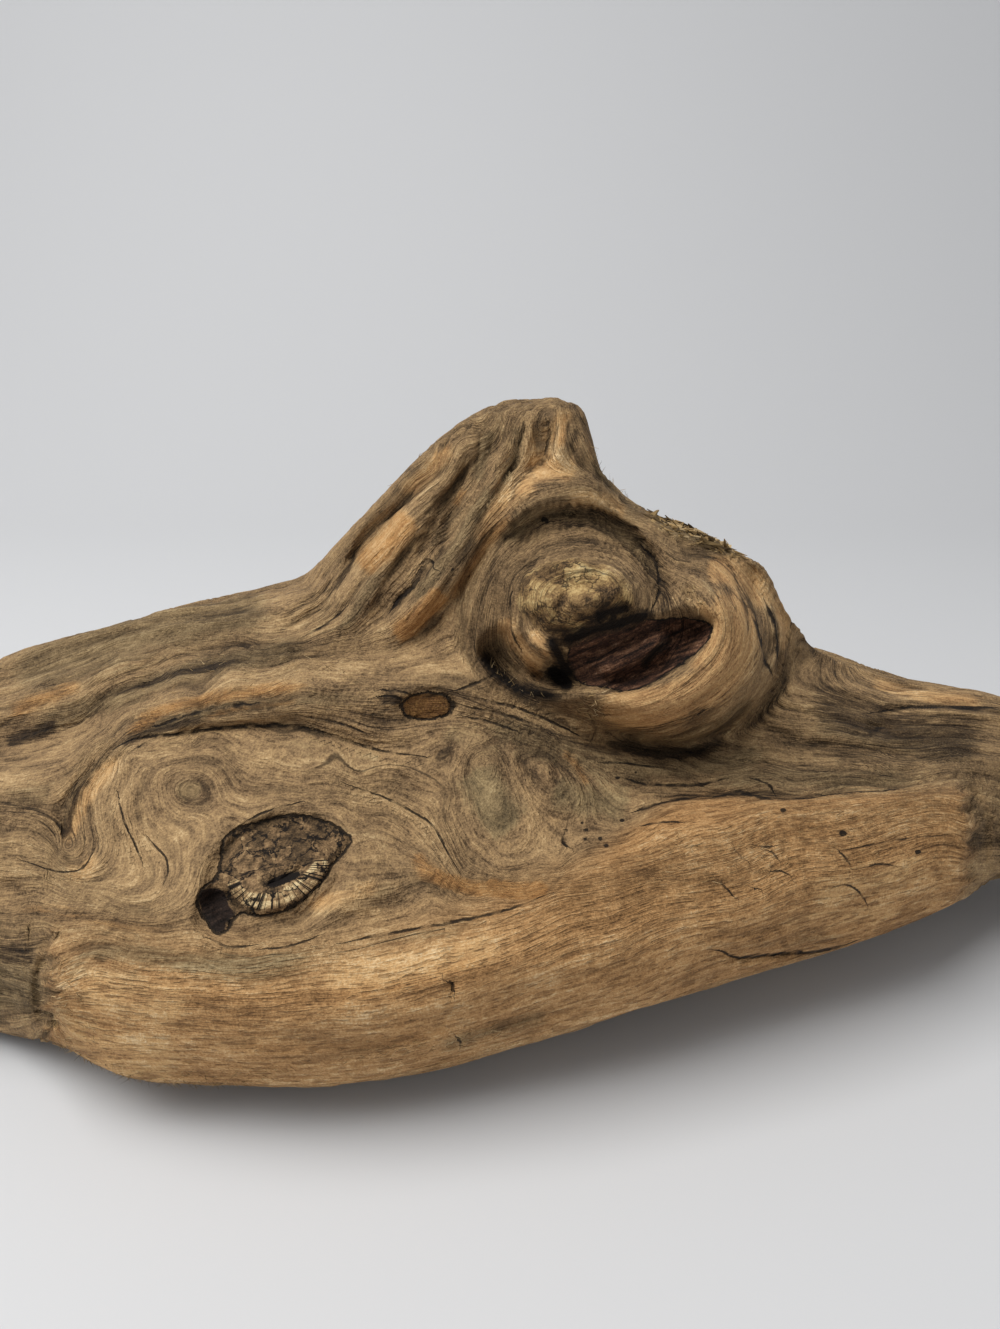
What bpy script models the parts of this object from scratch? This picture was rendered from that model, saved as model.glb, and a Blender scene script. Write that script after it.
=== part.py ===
"""A weathered piece of driftwood: one length of trunk with a broken branch stub and a burl, as one solid.

Run it with blender --background --python part.py, or from Blender's text editor. Metres, +Z up.
The wood lies along X on its worn underside, and its swirled face looks towards -Y.

The form is drawn like a boat's hull. Rails run from the left end to the right end, a closed curve
through the rails makes each cross-section, and mounds, outlines and strokes are then worked into it.
What shows from the front is laid out on a perspective drawing: its plane stands 250 mm in front of
the eye, and a drawn point is (across, up) in millimetres on that plane.
"""

import math

import bpy
import numpy as np

MM = 0.001

# Driving dimensions, in millimetres
LENGTH = 460.0
EYE = np.array((0.0, -281.0, 215.0))
EYE_PITCH = math.radians(24.0)
DRAWING_DISTANCE = 250.0
DATUM_Y = 9.0
FLAT_CENTRE = (-20.0, 6.0)
FLAT_HALF = (60.0, 42.0)
FLAT_REACH = 3.0

# The form is lofted finely, then thinned to this many triangles
STATIONS = 240
ROUND = 150
TRIANGLES = 11700

FORWARD = np.array((0.0, math.cos(EYE_PITCH), -math.sin(EYE_PITCH)))
UPWARD = np.array((0.0, math.sin(EYE_PITCH), math.cos(EYE_PITCH)))

# Rails seen from the front: (across, up, depth behind the datum), from left to right
SEEN_RAILS = {
    "lower edge": (
        (-125, -91, -82), (-110, -95, -90), (-95, -102, -97), (-75, -104, -99), (-42, -104, -100), (-17, -100, -97),
        (0, -95, -94), (25, -88, -88), (50, -80, -80), (75, -73, -71), (100, -66, -60), (116, -58, -52),
        (125, -51, -46),
    ),
    "slab face": (
        (-125, -80, -87), (-100, -86, -99), (-75, -89, -104), (-42, -88, -105), (-17, -85, -102), (0, -80, -99),
        (25, -73, -93), (50, -65, -85), (75, -56, -75), (100, -50, -63), (121, -45, -52),
    ),
    "slab top": (
        (-125, -68, -82), (-85, -71, -96), (-55, -74, -98), (-25, -71, -95), (0, -65, -90), (25, -54, -80),
        (50, -44, -69), (75, -38, -58), (100, -35, -50), (121, -33, -44),
    ),
    "knot band": (
        (-125, -54, -66), (-100, -55, -76), (-75, -54, -80), (-56, -53, -81), (-25, -50, -76), (0, -46, -67),
        (25, -40, -57), (50, -35, -49), (75, -31, -43), (100, -29, -37), (121, -27, -33),
    ),
    "swirl band": (
        (-125, -33, -42), (-100, -34, -51), (-77, -33, -54), (-50, -33, -55), (-25, -31, -52), (0, -28, -47),
        (25, -27, -41), (50, -27, -35), (75, -24, -27), (100, -21, -21), (121, -20, -18),
    ),
    "brow": (
        (-125, -20, -14), (-105, -17, -22), (-85, -12, -27), (-62, -8, -30), (-37, -6, -31), (-12, -7, -30),
        (5, -12, -32), (25, -19, -34), (50, -20, -29), (75, -16, -16), (100, -14, -7), (121, -13, -4),
    ),
    "valley": (
        (-125, -9, 5), (-105, -4, 0), (-85, 0, -4), (-62, 4, -8), (-37, 4, -12), (-17, 4, -18), (0, 4, -22),
        (25, 2, -24), (50, 1, -20), (75, -6, -2), (100, -9, 8), (121, -9, 10),
    ),
    "collar": (
        (-125, -2, 22), (-105, 3, 18), (-85, 7, 14), (-62, 12, 9), (-45, 14, 1), (-25, 19, -9), (-5, 21, -17),
        (15, 20, -21), (35, 19, -19), (55, 14, -12), (75, 0, 10), (100, -6, 18), (121, -7, 18),
    ),
    "flank": (
        (-125, 1, 35), (-100, 9, 32), (-75, 14, 28), (-50, 19, 18), (-35, 28, 8), (-18, 41, 1), (0, 47, -4),
        (15, 47, -6), (30, 37, -5), (50, 29, -2), (68, 15, 6), (82, 1, 20), (100, -5, 24), (121, -7, 24),
    ),
    "crest": (
        (-124, 1, 47), (-111, 6, 46), (-99, 9, 44), (-86, 13, 42), (-74, 15, 40), (-61, 18, 37), (-51, 20, 33),
        (-42, 28, 26), (-30, 41, 18), (-17, 54, 12), (-5, 62, 8), (8, 64, 6), (16, 65, 6), (21, 63, 6),
        (25, 50, 8), (30, 43, 9), (37, 38, 9), (51, 32, 8), (61, 27, 8), (66, 24, 9), (70, 15, 15), (76, 6, 21),
        (82, 2, 25), (95, -3, 28), (114, -6, 29), (124, -7.5, 29),
    ),
}

# Rails of the back and the underside: (x, y, z)
HIDDEN_RAILS = {
    "back shoulder": (
        (-182, 70, 58), (-150, 76, 68), (-110, 76, 82), (-75, 70, 92), (-50, 60, 108), (-28, 50, 134), (-8, 46, 151),
        (8, 46, 156), (20, 46, 152), (30, 46, 132), (48, 47, 122), (72, 50, 106), (95, 56, 80), (130, 60, 62),
        (165, 56, 52),
    ),
    "back": (
        (-182, 82, 44), (-150, 92, 50), (-110, 98, 58), (-75, 97, 68), (-40, 88, 84), (-10, 76, 102), (15, 70, 104),
        (45, 70, 90), (80, 76, 66), (120, 78, 48), (160, 70, 42),
    ),
    "back foot": (
        (-182, 72, 24), (-150, 84, 22), (-110, 92, 23), (-75, 92, 24), (-40, 86, 28), (0, 76, 32), (40, 72, 27),
        (80, 72, 20), (120, 68, 18), (160, 60, 19),
    ),
    "under back": (
        (-182, 40, 10), (-150, 46, 6), (-110, 48, 2), (-75, 46, -3), (-40, 42, -5), (0, 38, -3), (40, 34, 2),
        (80, 32, 5), (120, 29, 9), (160, 26, 13),
    ),
    "under front": (
        (-182, -16, 9), (-150, -24, 5), (-110, -32, 1), (-75, -38, -3), (-40, -42, -5), (0, -40, -3), (40, -32, 3),
        (80, -22, 6), (120, -12, 12), (160, -6, 17),
    ),
    "under slab": (
        (-182, -46, 12), (-150, -56, 8), (-110, -66, 5), (-75, -74, 4), (-40, -78, 5), (0, -72, 9), (40, -62, 15),
        (80, -48, 21), (120, -34, 27), (160, -24, 29),
    ),
}

# The sections towards each end, past what the drawing shows: x, then (y, z) on each rail in order
END_SECTIONS = (
    (-196, (
        (-56, 12), (-62, 28), (-58, 40), (-46, 45), (-26, 50), (-5, 53), (13, 60), (29, 62), (43, 61), (55, 56),
        (66, 49), (74, 38), (64, 22), (36, 10), (-12, 9), (-42, 10),
    )),
    (-214, (
        (-46, 13), (-51, 26), (-47, 36), (-37, 41), (-22, 46), (-5, 50), (10, 55), (24, 57), (36, 55), (46, 51),
        (55, 44), (60, 34), (54, 21), (30, 12), (-10, 10), (-34, 11),
    )),
    (-230, (
        (-38, 14), (-42, 24), (-39, 33), (-30, 38), (-18, 42), (-5, 46), (8, 49), (20, 50), (30, 48), (39, 44),
        (46, 38), (49, 30), (44, 20), (25, 12), (-8, 10), (-27, 11),
    )),
    (190, (
        (-24, 33), (-27, 43), (-22, 52), (-13, 56), (-3, 57), (8, 61), (17, 62), (26, 60), (33, 58), (40, 53),
        (48, 46), (51, 36), (46, 22), (26, 15), (2, 18), (-14, 24),
    )),
    (212, (
        (-15, 30), (-18, 39), (-14, 47), (-7, 51), (2, 51), (11, 55), (19, 56), (27, 54), (33, 51), (38, 47),
        (43, 41), (45, 33), (40, 22), (25, 17), (6, 19), (-7, 24),
    )),
    (230, (
        (-8, 29), (-10, 36), (-8, 42), (-2, 46), (5, 46), (12, 50), (19, 50), (25, 48), (31, 45), (35, 42),
        (38, 37), (39, 32), (35, 24), (23, 20), (9, 21), (-2, 25),
    )),
)
SEEN = len(SEEN_RAILS)
RAILS = SEEN + len(HIDDEN_RAILS)

# Burl: how far its edge lies from its centre on the drawing at each eighth turn, from across anticlockwise,
# and how wide the fall at that edge is
BURL_CENTRE = (39.0, 5.0)
BURL_REACH = (33.0, 30.0, 31.0, 40.0, 42.0, 26.0, 25.0, 28.0)
BURL_FALL = (13.0, 18.0, 24.0, 28.0, 26.0, 14.0, 11.0, 11.0)
BURL_STEEP_FALLS = (22.0, 14.0)
BURL_HEIGHT = 21.0

# Front slab: the eroded outer layer that stands proud, between a torn left end and a round right end
SLAB_LEFT = -114.0
SLAB_RIGHT = 120.0
SLAB_PROUD = 9.0
SLAB_TOP = ((-130, -69), (-85, -71), (-55, -74), (-25, -69), (0, -58), (25, -47), (40, -36), (75, -33), (122, -31))

# Mouth of the burl: the outline of the rotted hollow under the eye knot
MOUTH_OUTLINE = (
    (-5, 3), (-1, 8), (5, 6), (11, 2), (19, 5), (28, 8), (38, 11), (47, 13), (53, 11), (51, 5), (45, -1),
    (37, -5), (30, -7), (22, -6), (16, -7), (9, -6), (1, -4),
)
MOUTH_DEPTH = 16.5
MOUTH_FALL = 4.0

# Mounds: centre, half sizes, turn in degrees, share of the radius at which the fall starts, height
MOUNDS = {
    "knot swelling": ((-56, -53), (31, 26), 20, 0.5, 4.5),
    "knot recess": ((-56, -53), (18.5, 14), 22, 0.86, -5.0),
    "knot plug": ((-54.5, -52), (14.5, 10), 22, 0.7, 4.0),
    "knot pocket": ((-70.5, -62), (6, 7), -60, 0.6, -5.0),
    "small knot": ((-18, -10.5), (8, 4.5), 0, 0.6, -2.5),
    "left swirl": ((-77, -32), (17, 15), 0, 0.2, 2.5),
    "right swirl": ((0, -32), (22, 16), 0, 0.2, 2.5),
    "hollow between swirls": ((-28, -42), (16, 13), 30, 0.1, -2.5),
    "eye socket": ((22, 17), (26, 17), 0, 0.5, -6.0),
    "eye knot": ((19, 18), (19, 12), -4, 0.3, 8.5),
    "eye nose": ((9, 10), (8, 12), 18, 0.2, 5.0),
    "eye brow lump": ((32, 20), (9, 7), 0, 0.2, 3.0),
    "mouth floor": ((33, 3), (19, 7), 12, 0.4, 4.0),
    "peak notch": ((10, 53), (5, 9), -10, 0.4, -3.0),
    "peak knob": ((17, 54), (6, 6), 0, 0.4, 2.5),
    "trunk left of the slab": ((-160, -82), (47, 30), 0, 0.7, -7.0),
    "trunk right of the slab": ((155, -46), (37, 19), 0, 0.7, -6.0),
}

# Strokes worked along the grain: path on the drawing, half width, height (a groove is negative)
STROKES = {
    "lip": (((52, 24), (57, 17), (59, 8), (56, 1), (49, -6), (39, -11), (30, -12), (22, -9)), 6.5, 6.0),
    "lip crease": (((61, 26), (64, 19), (67, 9), (68, 1)), 2.2, -3.5),
    "under lip": (((20, -14), (27, -18), (40, -21), (50, -20), (60, -16), (68, -8), (73, 1)), 3.6, -7.0),
    "brow groove": (((2, 25), (7, 32), (15, 36), (25, 34), (34, 28), (39, 19), (38, 9)), 4.0, -5.5),
    "brow ridge": (((-2, 28), (5, 38), (16, 43), (28, 41), (38, 34), (44, 23)), 4.5, 4.0),
    "flank fold": (((-66, 8), (-45, 12), (-37, 20), (-33, 30), (-22, 44), (-12, 57)), 3.4, -4.5),
    "flank ridge": (((-50, 7), (-40, 12), (-32, 22), (-26, 33), (-16, 46), (-8, 60)), 3.6, 3.5),
    "second fold": (((-36, 7), (-29, 14), (-22, 24), (-14, 34), (-10, 44), (-3, 60)), 3.2, -3.5),
    "second ridge": (((-33, 2), (-21, 14), (-14, 25), (-7, 36), (-2, 47), (2, 60)), 3.4, 3.0),
    "inner fold": (((-28, 0), (-16, 10), (-8, 20), (-3, 29), (4, 42)), 3.0, -3.5),
    "left fold": (((-94, -20), (-101, -29), (-106, -39), (-110, -47)), 6.0, -6.0),
    "left roll": (((-80, -18), (-92, -28), (-97, -40), (-91, -52)), 5.0, 3.0),
    "back ridge groove": (((-190, -16), (-160, -14), (-130, -7), (-110, 1), (-95, 4), (-68, 6), (-50, 14)), 3.8, -6.0),
    "left valley": (((-190, -34), (-160, -26), (-130, -20), (-110, -17), (-97, -9), (-82, -2), (-60, 2)), 4.5, -6.0),
    "left split": (((-190, -52), (-165, -50), (-140, -52), (-122, -58), (-112, -64)), 4.0, -5.0),
    "brow roll": (((-92, -20), (-75, -12), (-55, -8), (-30, -6), (-10, -7), (5, -12)), 5.0, 3.5),
    "brow cracks": (((-95, -26), (-82, -20), (-67, -17), (-50, -16), (-33, -20), (-17, -22)), 3.0, -3.0),
    "stub crack": (((-5, -4), (6, -9), (20, -16), (34, -22)), 2.6, -3.0),
    "ledge crack": (((38, -34), (60, -33), (85, -31), (108, -30)), 2.5, -3.0),
    "saddle fold": (((74, -4), (88, -11), (104, -15), (126, -16), (150, -18), (174, -16)), 4.0, -4.5),
    "saddle roll": (((76, 1), (90, -6), (106, -9), (126, -10), (150, -9)), 4.0, 2.0),
    "right split": (((112, -31), (126, -31), (145, -33), (170, -30)), 4.5, -5.0),
    "slab split": (((-60, -67), (-25, -62), (0, -55), (13, -52)), 3.0, -2.0),
}

# Strokes on the far side: path as (x, z) seen from behind, half width, height
FAR_STROKES = {
    "long fold": (((-228, 38), (-190, 42), (-120, 50), (-60, 62), (-20, 84), (-2, 116)), 7.0, -8.0),
    "long ridge": (((-180, 58), (-110, 68), (-50, 84), (-18, 112), (2, 138)), 6.0, 5.0),
    "second fold": (((-200, 58), (-140, 72), (-84, 86), (-44, 108), (-20, 138)), 5.0, -4.5),
    "right fold": (((226, 38), (186, 42), (120, 50), (74, 62), (42, 88), (26, 124)), 6.0, -8.0),
    "right ridge": (((170, 52), (110, 64), (66, 80), (40, 108), (24, 138)), 5.5, 4.5),
    "low fold": (((-200, 24), (-150, 24), (-90, 28), (-30, 34), (40, 38), (110, 32)), 6.0, -6.5),
    "low ridge": (((-150, 36), (-80, 44), (-10, 56), (50, 50), (120, 40)), 7.0, 4.5),
    "foot fold": (((-90, 13), (-30, 16), (40, 20), (120, 22), (190, 30)), 5.0, -5.0),
    "stub split": (((8, 152), (9, 124), (16, 100), (14, 82)), 4.0, -7.0),
}
FAR_KNOT = ((-74.0, 58.0), (17.0, 12.0), 12.0, 6.0)

# Swell: long, low waves that run with the grain. Waves along the length, waves round, height
SWELLS = ((2.0, 5.0, 1.3), (3.0, 8.0, 1.1), (5.0, 11.0, 0.7), (7.0, 17.0, 0.5))

# Rounding of the two ends: over what length, how squarely, how the end face slants and lobes round
# the section, how far from the end the folds and ridges die out, and how far from it the last ring is
END_ROUNDING = 26.0
END_SLANT = (14.0, 11.0)
END_LOBE = (7.0, 6.0)
END_POWER = 3.6
END_FADE = (2.0, 24.0)
LAST_RING = 0.06


def from_drawing(across, up, depth):
    """The point seen at (across, up) on the drawing, at this depth behind the datum."""
    ray = FORWARD * DRAWING_DISTANCE + UPWARD * up + np.array((across, 0.0, 0.0))
    reach = (depth + DATUM_Y - EYE[1]) / ray[1]
    return EYE + ray * reach


def to_drawing(points):
    """(across, up) on the drawing for each point."""
    sight = points - EYE
    scale = DRAWING_DISTANCE / (sight @ FORWARD)
    return np.stack((sight[:, 0] * scale, (sight @ UPWARD) * scale), axis=1)


def smooth(value, low, high):
    """0 before low, 1 past high, and a smooth step between. High may be the smaller."""
    share = np.clip((value - low) / (high - low), 0.0, 1.0)
    return share * share * (3.0 - 2.0 * share)


def through(knots, values, at):
    """A smooth curve through values at the knots, read at each of at."""
    knots = np.asarray(knots, float)
    values = np.asarray(values, float)
    slopes = np.gradient(values, knots, axis=0)
    place = np.clip(np.searchsorted(knots, at) - 1, 0, len(knots) - 2)
    span = knots[place + 1] - knots[place]
    share = np.clip((at - knots[place]) / span, 0.0, 1.0)
    column = (slice(None),) + (None,) * (values.ndim - 1)
    share, span = share[column], span[column]
    start, end = values[place], values[place + 1]
    bend = share * share * (3.0 - 2.0 * share)
    lead = share * (1.0 - share) ** 2 * span * slopes[place]
    trail = share * share * (share - 1.0) * span * slopes[place + 1]
    return start + (end - start) * bend + lead + trail


def rail_points():
    """The rails in order round the section, each as points (x, y, z) from the left end to the right."""
    rails = [[tuple(from_drawing(*point)) for point in rail] for rail in SEEN_RAILS.values()]
    rails += [list(rail) for rail in HIDDEN_RAILS.values()]
    for x, section in END_SECTIONS:
        for rail, (y, z) in zip(rails, section, strict=True):
            rail.append((x, y, z))
    return [np.array(sorted(rail)) for rail in rails]


def loft(stations, rounds):
    """Points of the form for each station x and each place round the section, before it is worked."""
    rails = np.array([through(rail[:, 0], rail[:, 1:], stations) for rail in rail_points()])
    wrapped = np.concatenate((rails[-3:], rails, rails[:3]))
    section = through(np.arange(-3, RAILS + 3), wrapped, rounds)
    grid = np.empty((len(stations), len(rounds), 3))
    grid[:, :, 0] = stations[:, None]
    grid[:, :, 1:] = section.transpose(1, 0, 2)
    return grid


def outward(grid):
    """The outward normal at each point of a grid that closes round its second side."""
    along = np.gradient(grid, axis=0)
    across = np.roll(grid, -1, axis=1) - np.roll(grid, 1, axis=1)
    normal = np.cross(along, across)
    return normal / np.maximum(np.linalg.norm(normal, axis=2, keepdims=True), 1e-9)


def stroke_field(drawn, path, half_width):
    """How strongly each drawn point is under a brush of this half width moved along the path."""
    path = np.asarray(path, float)
    fine = through(np.arange(len(path)), path, np.linspace(0.0, len(path) - 1.0, 6 * len(path)))
    start, along = fine[:-1], np.diff(fine, axis=0)
    field = np.zeros(len(drawn))
    reach = 3.0 * half_width
    near = np.flatnonzero(((drawn > fine.min(axis=0) - reach) & (drawn < fine.max(axis=0) + reach)).all(axis=1))
    offset = drawn[near][:, None, :] - start[None]
    share = np.clip((offset * along).sum(axis=2) / (along**2).sum(axis=1), 0.0, 1.0)
    distance = np.linalg.norm(offset - share[:, :, None] * along, axis=2)
    nearest = distance.argmin(axis=1)
    row = np.arange(len(near))
    travel = (nearest + share[row, nearest]) / len(start)
    ends = np.sqrt(np.clip(4.0 * np.minimum(travel, 1.0 - travel), 0.0, 1.0))
    field[near] = np.exp(-((distance[row, nearest] / half_width) ** 2)) * ends
    return field


def mound_field(drawn, centre, half, turn, start):
    """1 inside a turned ellipse, falling smoothly to 0 just past its edge."""
    angle = math.radians(turn)
    offset = drawn - np.array(centre, float)
    along = (offset[:, 0] * math.cos(angle) + offset[:, 1] * math.sin(angle)) / half[0]
    over = (offset[:, 1] * math.cos(angle) - offset[:, 0] * math.sin(angle)) / half[1]
    return 1.0 - smooth(np.hypot(along, over), start, 1.15)


def outline_field(drawn, outline, fall):
    """1 inside a closed smooth outline, falling to 0 across its edge."""
    outline = np.asarray(outline, float)
    count = len(outline)
    wrapped = np.concatenate((outline[-2:], outline, outline[:3]))
    fine = through(np.arange(-2, count + 3), wrapped, np.linspace(0.0, count, 4 * count, endpoint=False))
    after = np.roll(fine, -1, axis=0)
    along = after - fine
    offset = drawn[:, None, :] - fine[None]
    share = np.clip((offset * along).sum(axis=2) / (along**2).sum(axis=1), 0.0, 1.0)
    distance = np.linalg.norm(offset - share[:, :, None] * along, axis=2).min(axis=1)
    height = drawn[:, 1:2]
    crosses = (fine[:, 1] > height) != (after[:, 1] > height)
    reach = fine[:, 0] + (height - fine[:, 1]) * along[:, 0] / np.where(along[:, 1] == 0.0, 1e-9, along[:, 1])
    inside = (crosses & (drawn[:, 0:1] < reach)).sum(axis=1) % 2 == 1
    return smooth(np.where(inside, distance, -distance), -fall / 2.0, fall)


def burl_field(drawn):
    """1 over the burl, falling steeply on its lower right and gently into the stub on its upper left."""
    offset = drawn - np.array(BURL_CENTRE)
    eighth = np.degrees(np.arctan2(offset[:, 1], offset[:, 0])) / 45.0 % 8.0
    knots = np.arange(-2, 11)
    reach = through(knots, np.take(BURL_REACH, knots % 8), eighth)
    fall = through(knots, np.take(BURL_FALL, knots % 8), eighth)
    inside = reach - np.hypot(offset[:, 0], offset[:, 1])
    gentle = smooth(inside, -0.3 * fall, fall)
    bulging = 1.0 - (1.0 - np.clip(inside / fall, 0.0, 1.0)) ** 2.6
    return gentle + (bulging - gentle) * smooth(fall, *BURL_STEEP_FALLS)


def slab_field(drawn):
    """1 over the front slab."""
    top = through([p[0] for p in SLAB_TOP], [p[1] for p in SLAB_TOP], drawn[:, 0])
    fall = 2.5 + 9.0 * smooth(drawn[:, 0], 50.0, -20.0)
    below = smooth(top - drawn[:, 1], -fall, fall)
    round_end = SLAB_RIGHT - 0.012 * (drawn[:, 1] + 44.0) ** 2
    ends = smooth(drawn[:, 0], SLAB_LEFT, SLAB_LEFT + 4.0) * smooth(drawn[:, 0], round_end, round_end - 4.0)
    return below * ends


def end_fade(points):
    """1 along the wood, falling to 0 at both ends."""
    return smooth(LENGTH / 2.0 - np.abs(points[:, 0]), *END_FADE)


def work_front(grid, seen):
    """Moves the seen points along their sight lines, so that what is drawn keeps its place on the drawing."""
    points = grid.reshape(-1, 3)
    drawn = to_drawing(points)
    height = BURL_HEIGHT * burl_field(drawn) + SLAB_PROUD * slab_field(drawn)
    height -= MOUTH_DEPTH * outline_field(drawn, MOUTH_OUTLINE, MOUTH_FALL)
    for centre, half, turn, start, rise in MOUNDS.values():
        height += rise * mound_field(drawn, centre, half, turn, start)
    for path, half_width, rise in STROKES.values():
        height += rise * stroke_field(drawn, path, half_width)
    sight = EYE - points
    sight /= np.linalg.norm(sight, axis=1)[:, None]
    height *= seen * end_fade(points)
    return (points + sight * height[:, None]).reshape(grid.shape)


def work_back(grid, far):
    """Folds, ridges and one grown-over knot on the far side, and a swell all over that runs with the grain."""
    points = grid.reshape(-1, 3)
    drawn = points[:, [0, 2]]
    height = np.zeros(len(points))
    for path, half_width, rise in FAR_STROKES.values():
        height += rise * stroke_field(drawn, path, half_width)
    centre, half, turn, rise = FAR_KNOT
    height += rise * (mound_field(drawn, centre, half, turn, 0.1) - 0.8 * mound_field(drawn, centre, (8, 6), turn, 0.5))
    height *= far
    travel = points[:, 0] / LENGTH * 2.0 * math.pi
    turn = np.tile(np.arange(grid.shape[1]) / grid.shape[1] * 2.0 * math.pi, grid.shape[0])
    for k, (along, around, rise) in enumerate(SWELLS):
        wave = np.sin(around * turn + 1.4 * np.sin(along * travel + 2.1 * k) + 1.7 * k)
        height += rise * wave * np.sin(along * travel + 0.9 * k) * (0.35 + 0.65 * far)
    height *= end_fade(points)
    return (points + outward(grid).reshape(-1, 3) * height[:, None]).reshape(grid.shape)


def close_ends(grid, rounds):
    """Rounds each end of the loft over, with a slanted and lobed end face."""
    turn = 2.0 * math.pi * rounds / RAILS
    start = LENGTH / 2.0 - END_ROUNDING
    for side, slant, lobe in ((-1.0, END_SLANT[0], END_LOBE[0]), (1.0, END_SLANT[1], END_LOBE[1])):
        share = np.clip((side * grid[:, 0, 0] - start) / END_ROUNDING, 0.0, 1.0)
        rows = share > 0.0
        scale = np.sqrt(1.0 - share[rows] ** END_POWER)[:, None, None]
        centre = grid[rows].mean(axis=1, keepdims=True)[:, :, 1:]
        back = slant * (1.0 - np.cos(turn + side)) / 2.0 + lobe * (1.0 - np.cos(3.0 * turn + 1.0)) / 2.0
        grid[rows, :, 1:] = centre + (grid[rows, :, 1:] - centre) * scale
        grid[rows, :, 0] -= side * share[rows, None] * scale[:, :, 0] * back[None]
    return grid


def lie_flat(grid):
    """Wears the underside flat where the wood rests, so that it lies still."""
    points = grid.reshape(-1, 3)
    offset = (points[:, :2] - FLAT_CENTRE) / FLAT_HALF
    worn = (np.linalg.norm(offset, axis=1) < 1.0) & (points[:, 2] < FLAT_REACH)
    points[worn, 2] = 0.0
    points[:, 2] = np.maximum(points[:, 2], 0.0)
    return points.reshape(grid.shape)


def station_places(count):
    """Stations along the wood, gathered where the ends round over."""
    half = LENGTH / 2.0 - LAST_RING
    place = np.linspace(-half, half, 1001)
    weight = 1.0 + 5.0 * smooth(np.abs(place), half - 10.0, half)
    travel = np.concatenate(((0.0,), np.cumsum((weight[1:] + weight[:-1]) / 2.0)))
    return np.interp(np.linspace(0.0, travel[-1], count), travel, place)


def wood_points():
    """The grid of points of the finished form, in millimetres."""
    stations = station_places(STATIONS)
    rounds = np.linspace(0.0, RAILS, ROUND, endpoint=False)
    seen = 1.0 - smooth(rounds, SEEN - 1.7, SEEN - 0.9) + smooth(rounds, RAILS - 1.0, RAILS - 0.1)
    far = smooth(rounds, SEEN - 0.9, SEEN + 0.3) * smooth(rounds, RAILS - 2.0, RAILS - 3.5)
    grid = loft(stations, rounds)
    grid = work_front(grid, np.tile(seen, STATIONS))
    grid = work_back(grid, np.tile(far, STATIONS))
    return lie_flat(close_ends(grid, rounds))


def driftwood_material():
    """Pale brown weathered wood, dry and unvarnished."""
    material = bpy.data.materials.new("weathered_wood")
    material.use_nodes = True
    shader = material.node_tree.nodes["Principled BSDF"]
    shader.inputs["Base Color"].default_value = (0.27, 0.17, 0.09, 1.0)
    shader.inputs["Roughness"].default_value = 0.85
    shader.inputs["Metallic"].default_value = 0.0
    return material


def driftwood():
    """The whole piece as one closed mesh, thinned where it is smooth."""
    grid = wood_points() * MM
    left, right = grid[0].mean(axis=0), grid[-1].mean(axis=0)
    left[0], right[0] = -LENGTH / 2.0 * MM, LENGTH / 2.0 * MM
    vertices = [tuple(point) for point in grid.reshape(-1, 3)] + [tuple(left), tuple(right)]
    left_pole, right_pole = STATIONS * ROUND, STATIONS * ROUND + 1
    last = (STATIONS - 1) * ROUND
    faces = []
    for j in range(ROUND):
        k = (j + 1) % ROUND
        faces.append((left_pole, j, k))
        faces.append((right_pole, last + k, last + j))
        for i in range(0, last, ROUND):
            faces.append((i + j, i + ROUND + j, i + ROUND + k, i + k))
    mesh = bpy.data.meshes.new("driftwood")
    mesh.from_pydata(vertices, [], faces)
    mesh.shade_smooth()
    mesh.materials.append(driftwood_material())
    wood = bpy.data.objects.new("driftwood", mesh)
    bpy.context.scene.collection.objects.link(wood)
    thin = wood.modifiers.new("thin", "DECIMATE")
    thin.ratio = TRIANGLES / (2 * STATIONS * ROUND)
    return wood


for old in list(bpy.data.objects):
    bpy.data.objects.remove(old)
driftwood()
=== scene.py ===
"""The looks of a weathered piece of driftwood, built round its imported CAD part. Metres, +Z up."""

import math
from types import SimpleNamespace

import bpy
import numpy as np
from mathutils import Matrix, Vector


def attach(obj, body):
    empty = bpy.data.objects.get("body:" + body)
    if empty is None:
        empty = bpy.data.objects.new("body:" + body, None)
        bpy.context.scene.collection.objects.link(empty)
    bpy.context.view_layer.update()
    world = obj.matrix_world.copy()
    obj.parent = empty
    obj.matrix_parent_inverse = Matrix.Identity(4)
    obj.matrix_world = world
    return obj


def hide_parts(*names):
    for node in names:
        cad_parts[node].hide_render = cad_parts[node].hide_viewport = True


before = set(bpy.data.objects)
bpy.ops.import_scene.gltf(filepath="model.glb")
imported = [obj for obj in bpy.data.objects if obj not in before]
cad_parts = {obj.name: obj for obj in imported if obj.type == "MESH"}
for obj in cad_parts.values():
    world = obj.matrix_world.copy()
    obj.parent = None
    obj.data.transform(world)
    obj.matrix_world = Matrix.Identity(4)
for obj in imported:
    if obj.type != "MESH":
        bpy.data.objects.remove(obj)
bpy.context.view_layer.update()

# The wood's form
# One length of trunk that the sea has worn: a broken branch stub, a burl with a rotted mouth, and a
# slab of sounder wood along the front. It is drawn as the CAD part draws it, on a finer grid. A drawn
# point is (across, up) in millimetres on a plane 250 mm before the eye.
MM = 0.001
LENGTH = 460.0
EYE = np.array((0.0, -281.0, 215.0))
EYE_PITCH = math.radians(24.0)
DRAWING_DISTANCE = 250.0
DATUM_Y = 9.0
FLAT_CENTRE = (-20.0, 6.0)
FLAT_HALF = (60.0, 42.0)
FLAT_REACH = 3.0

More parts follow.
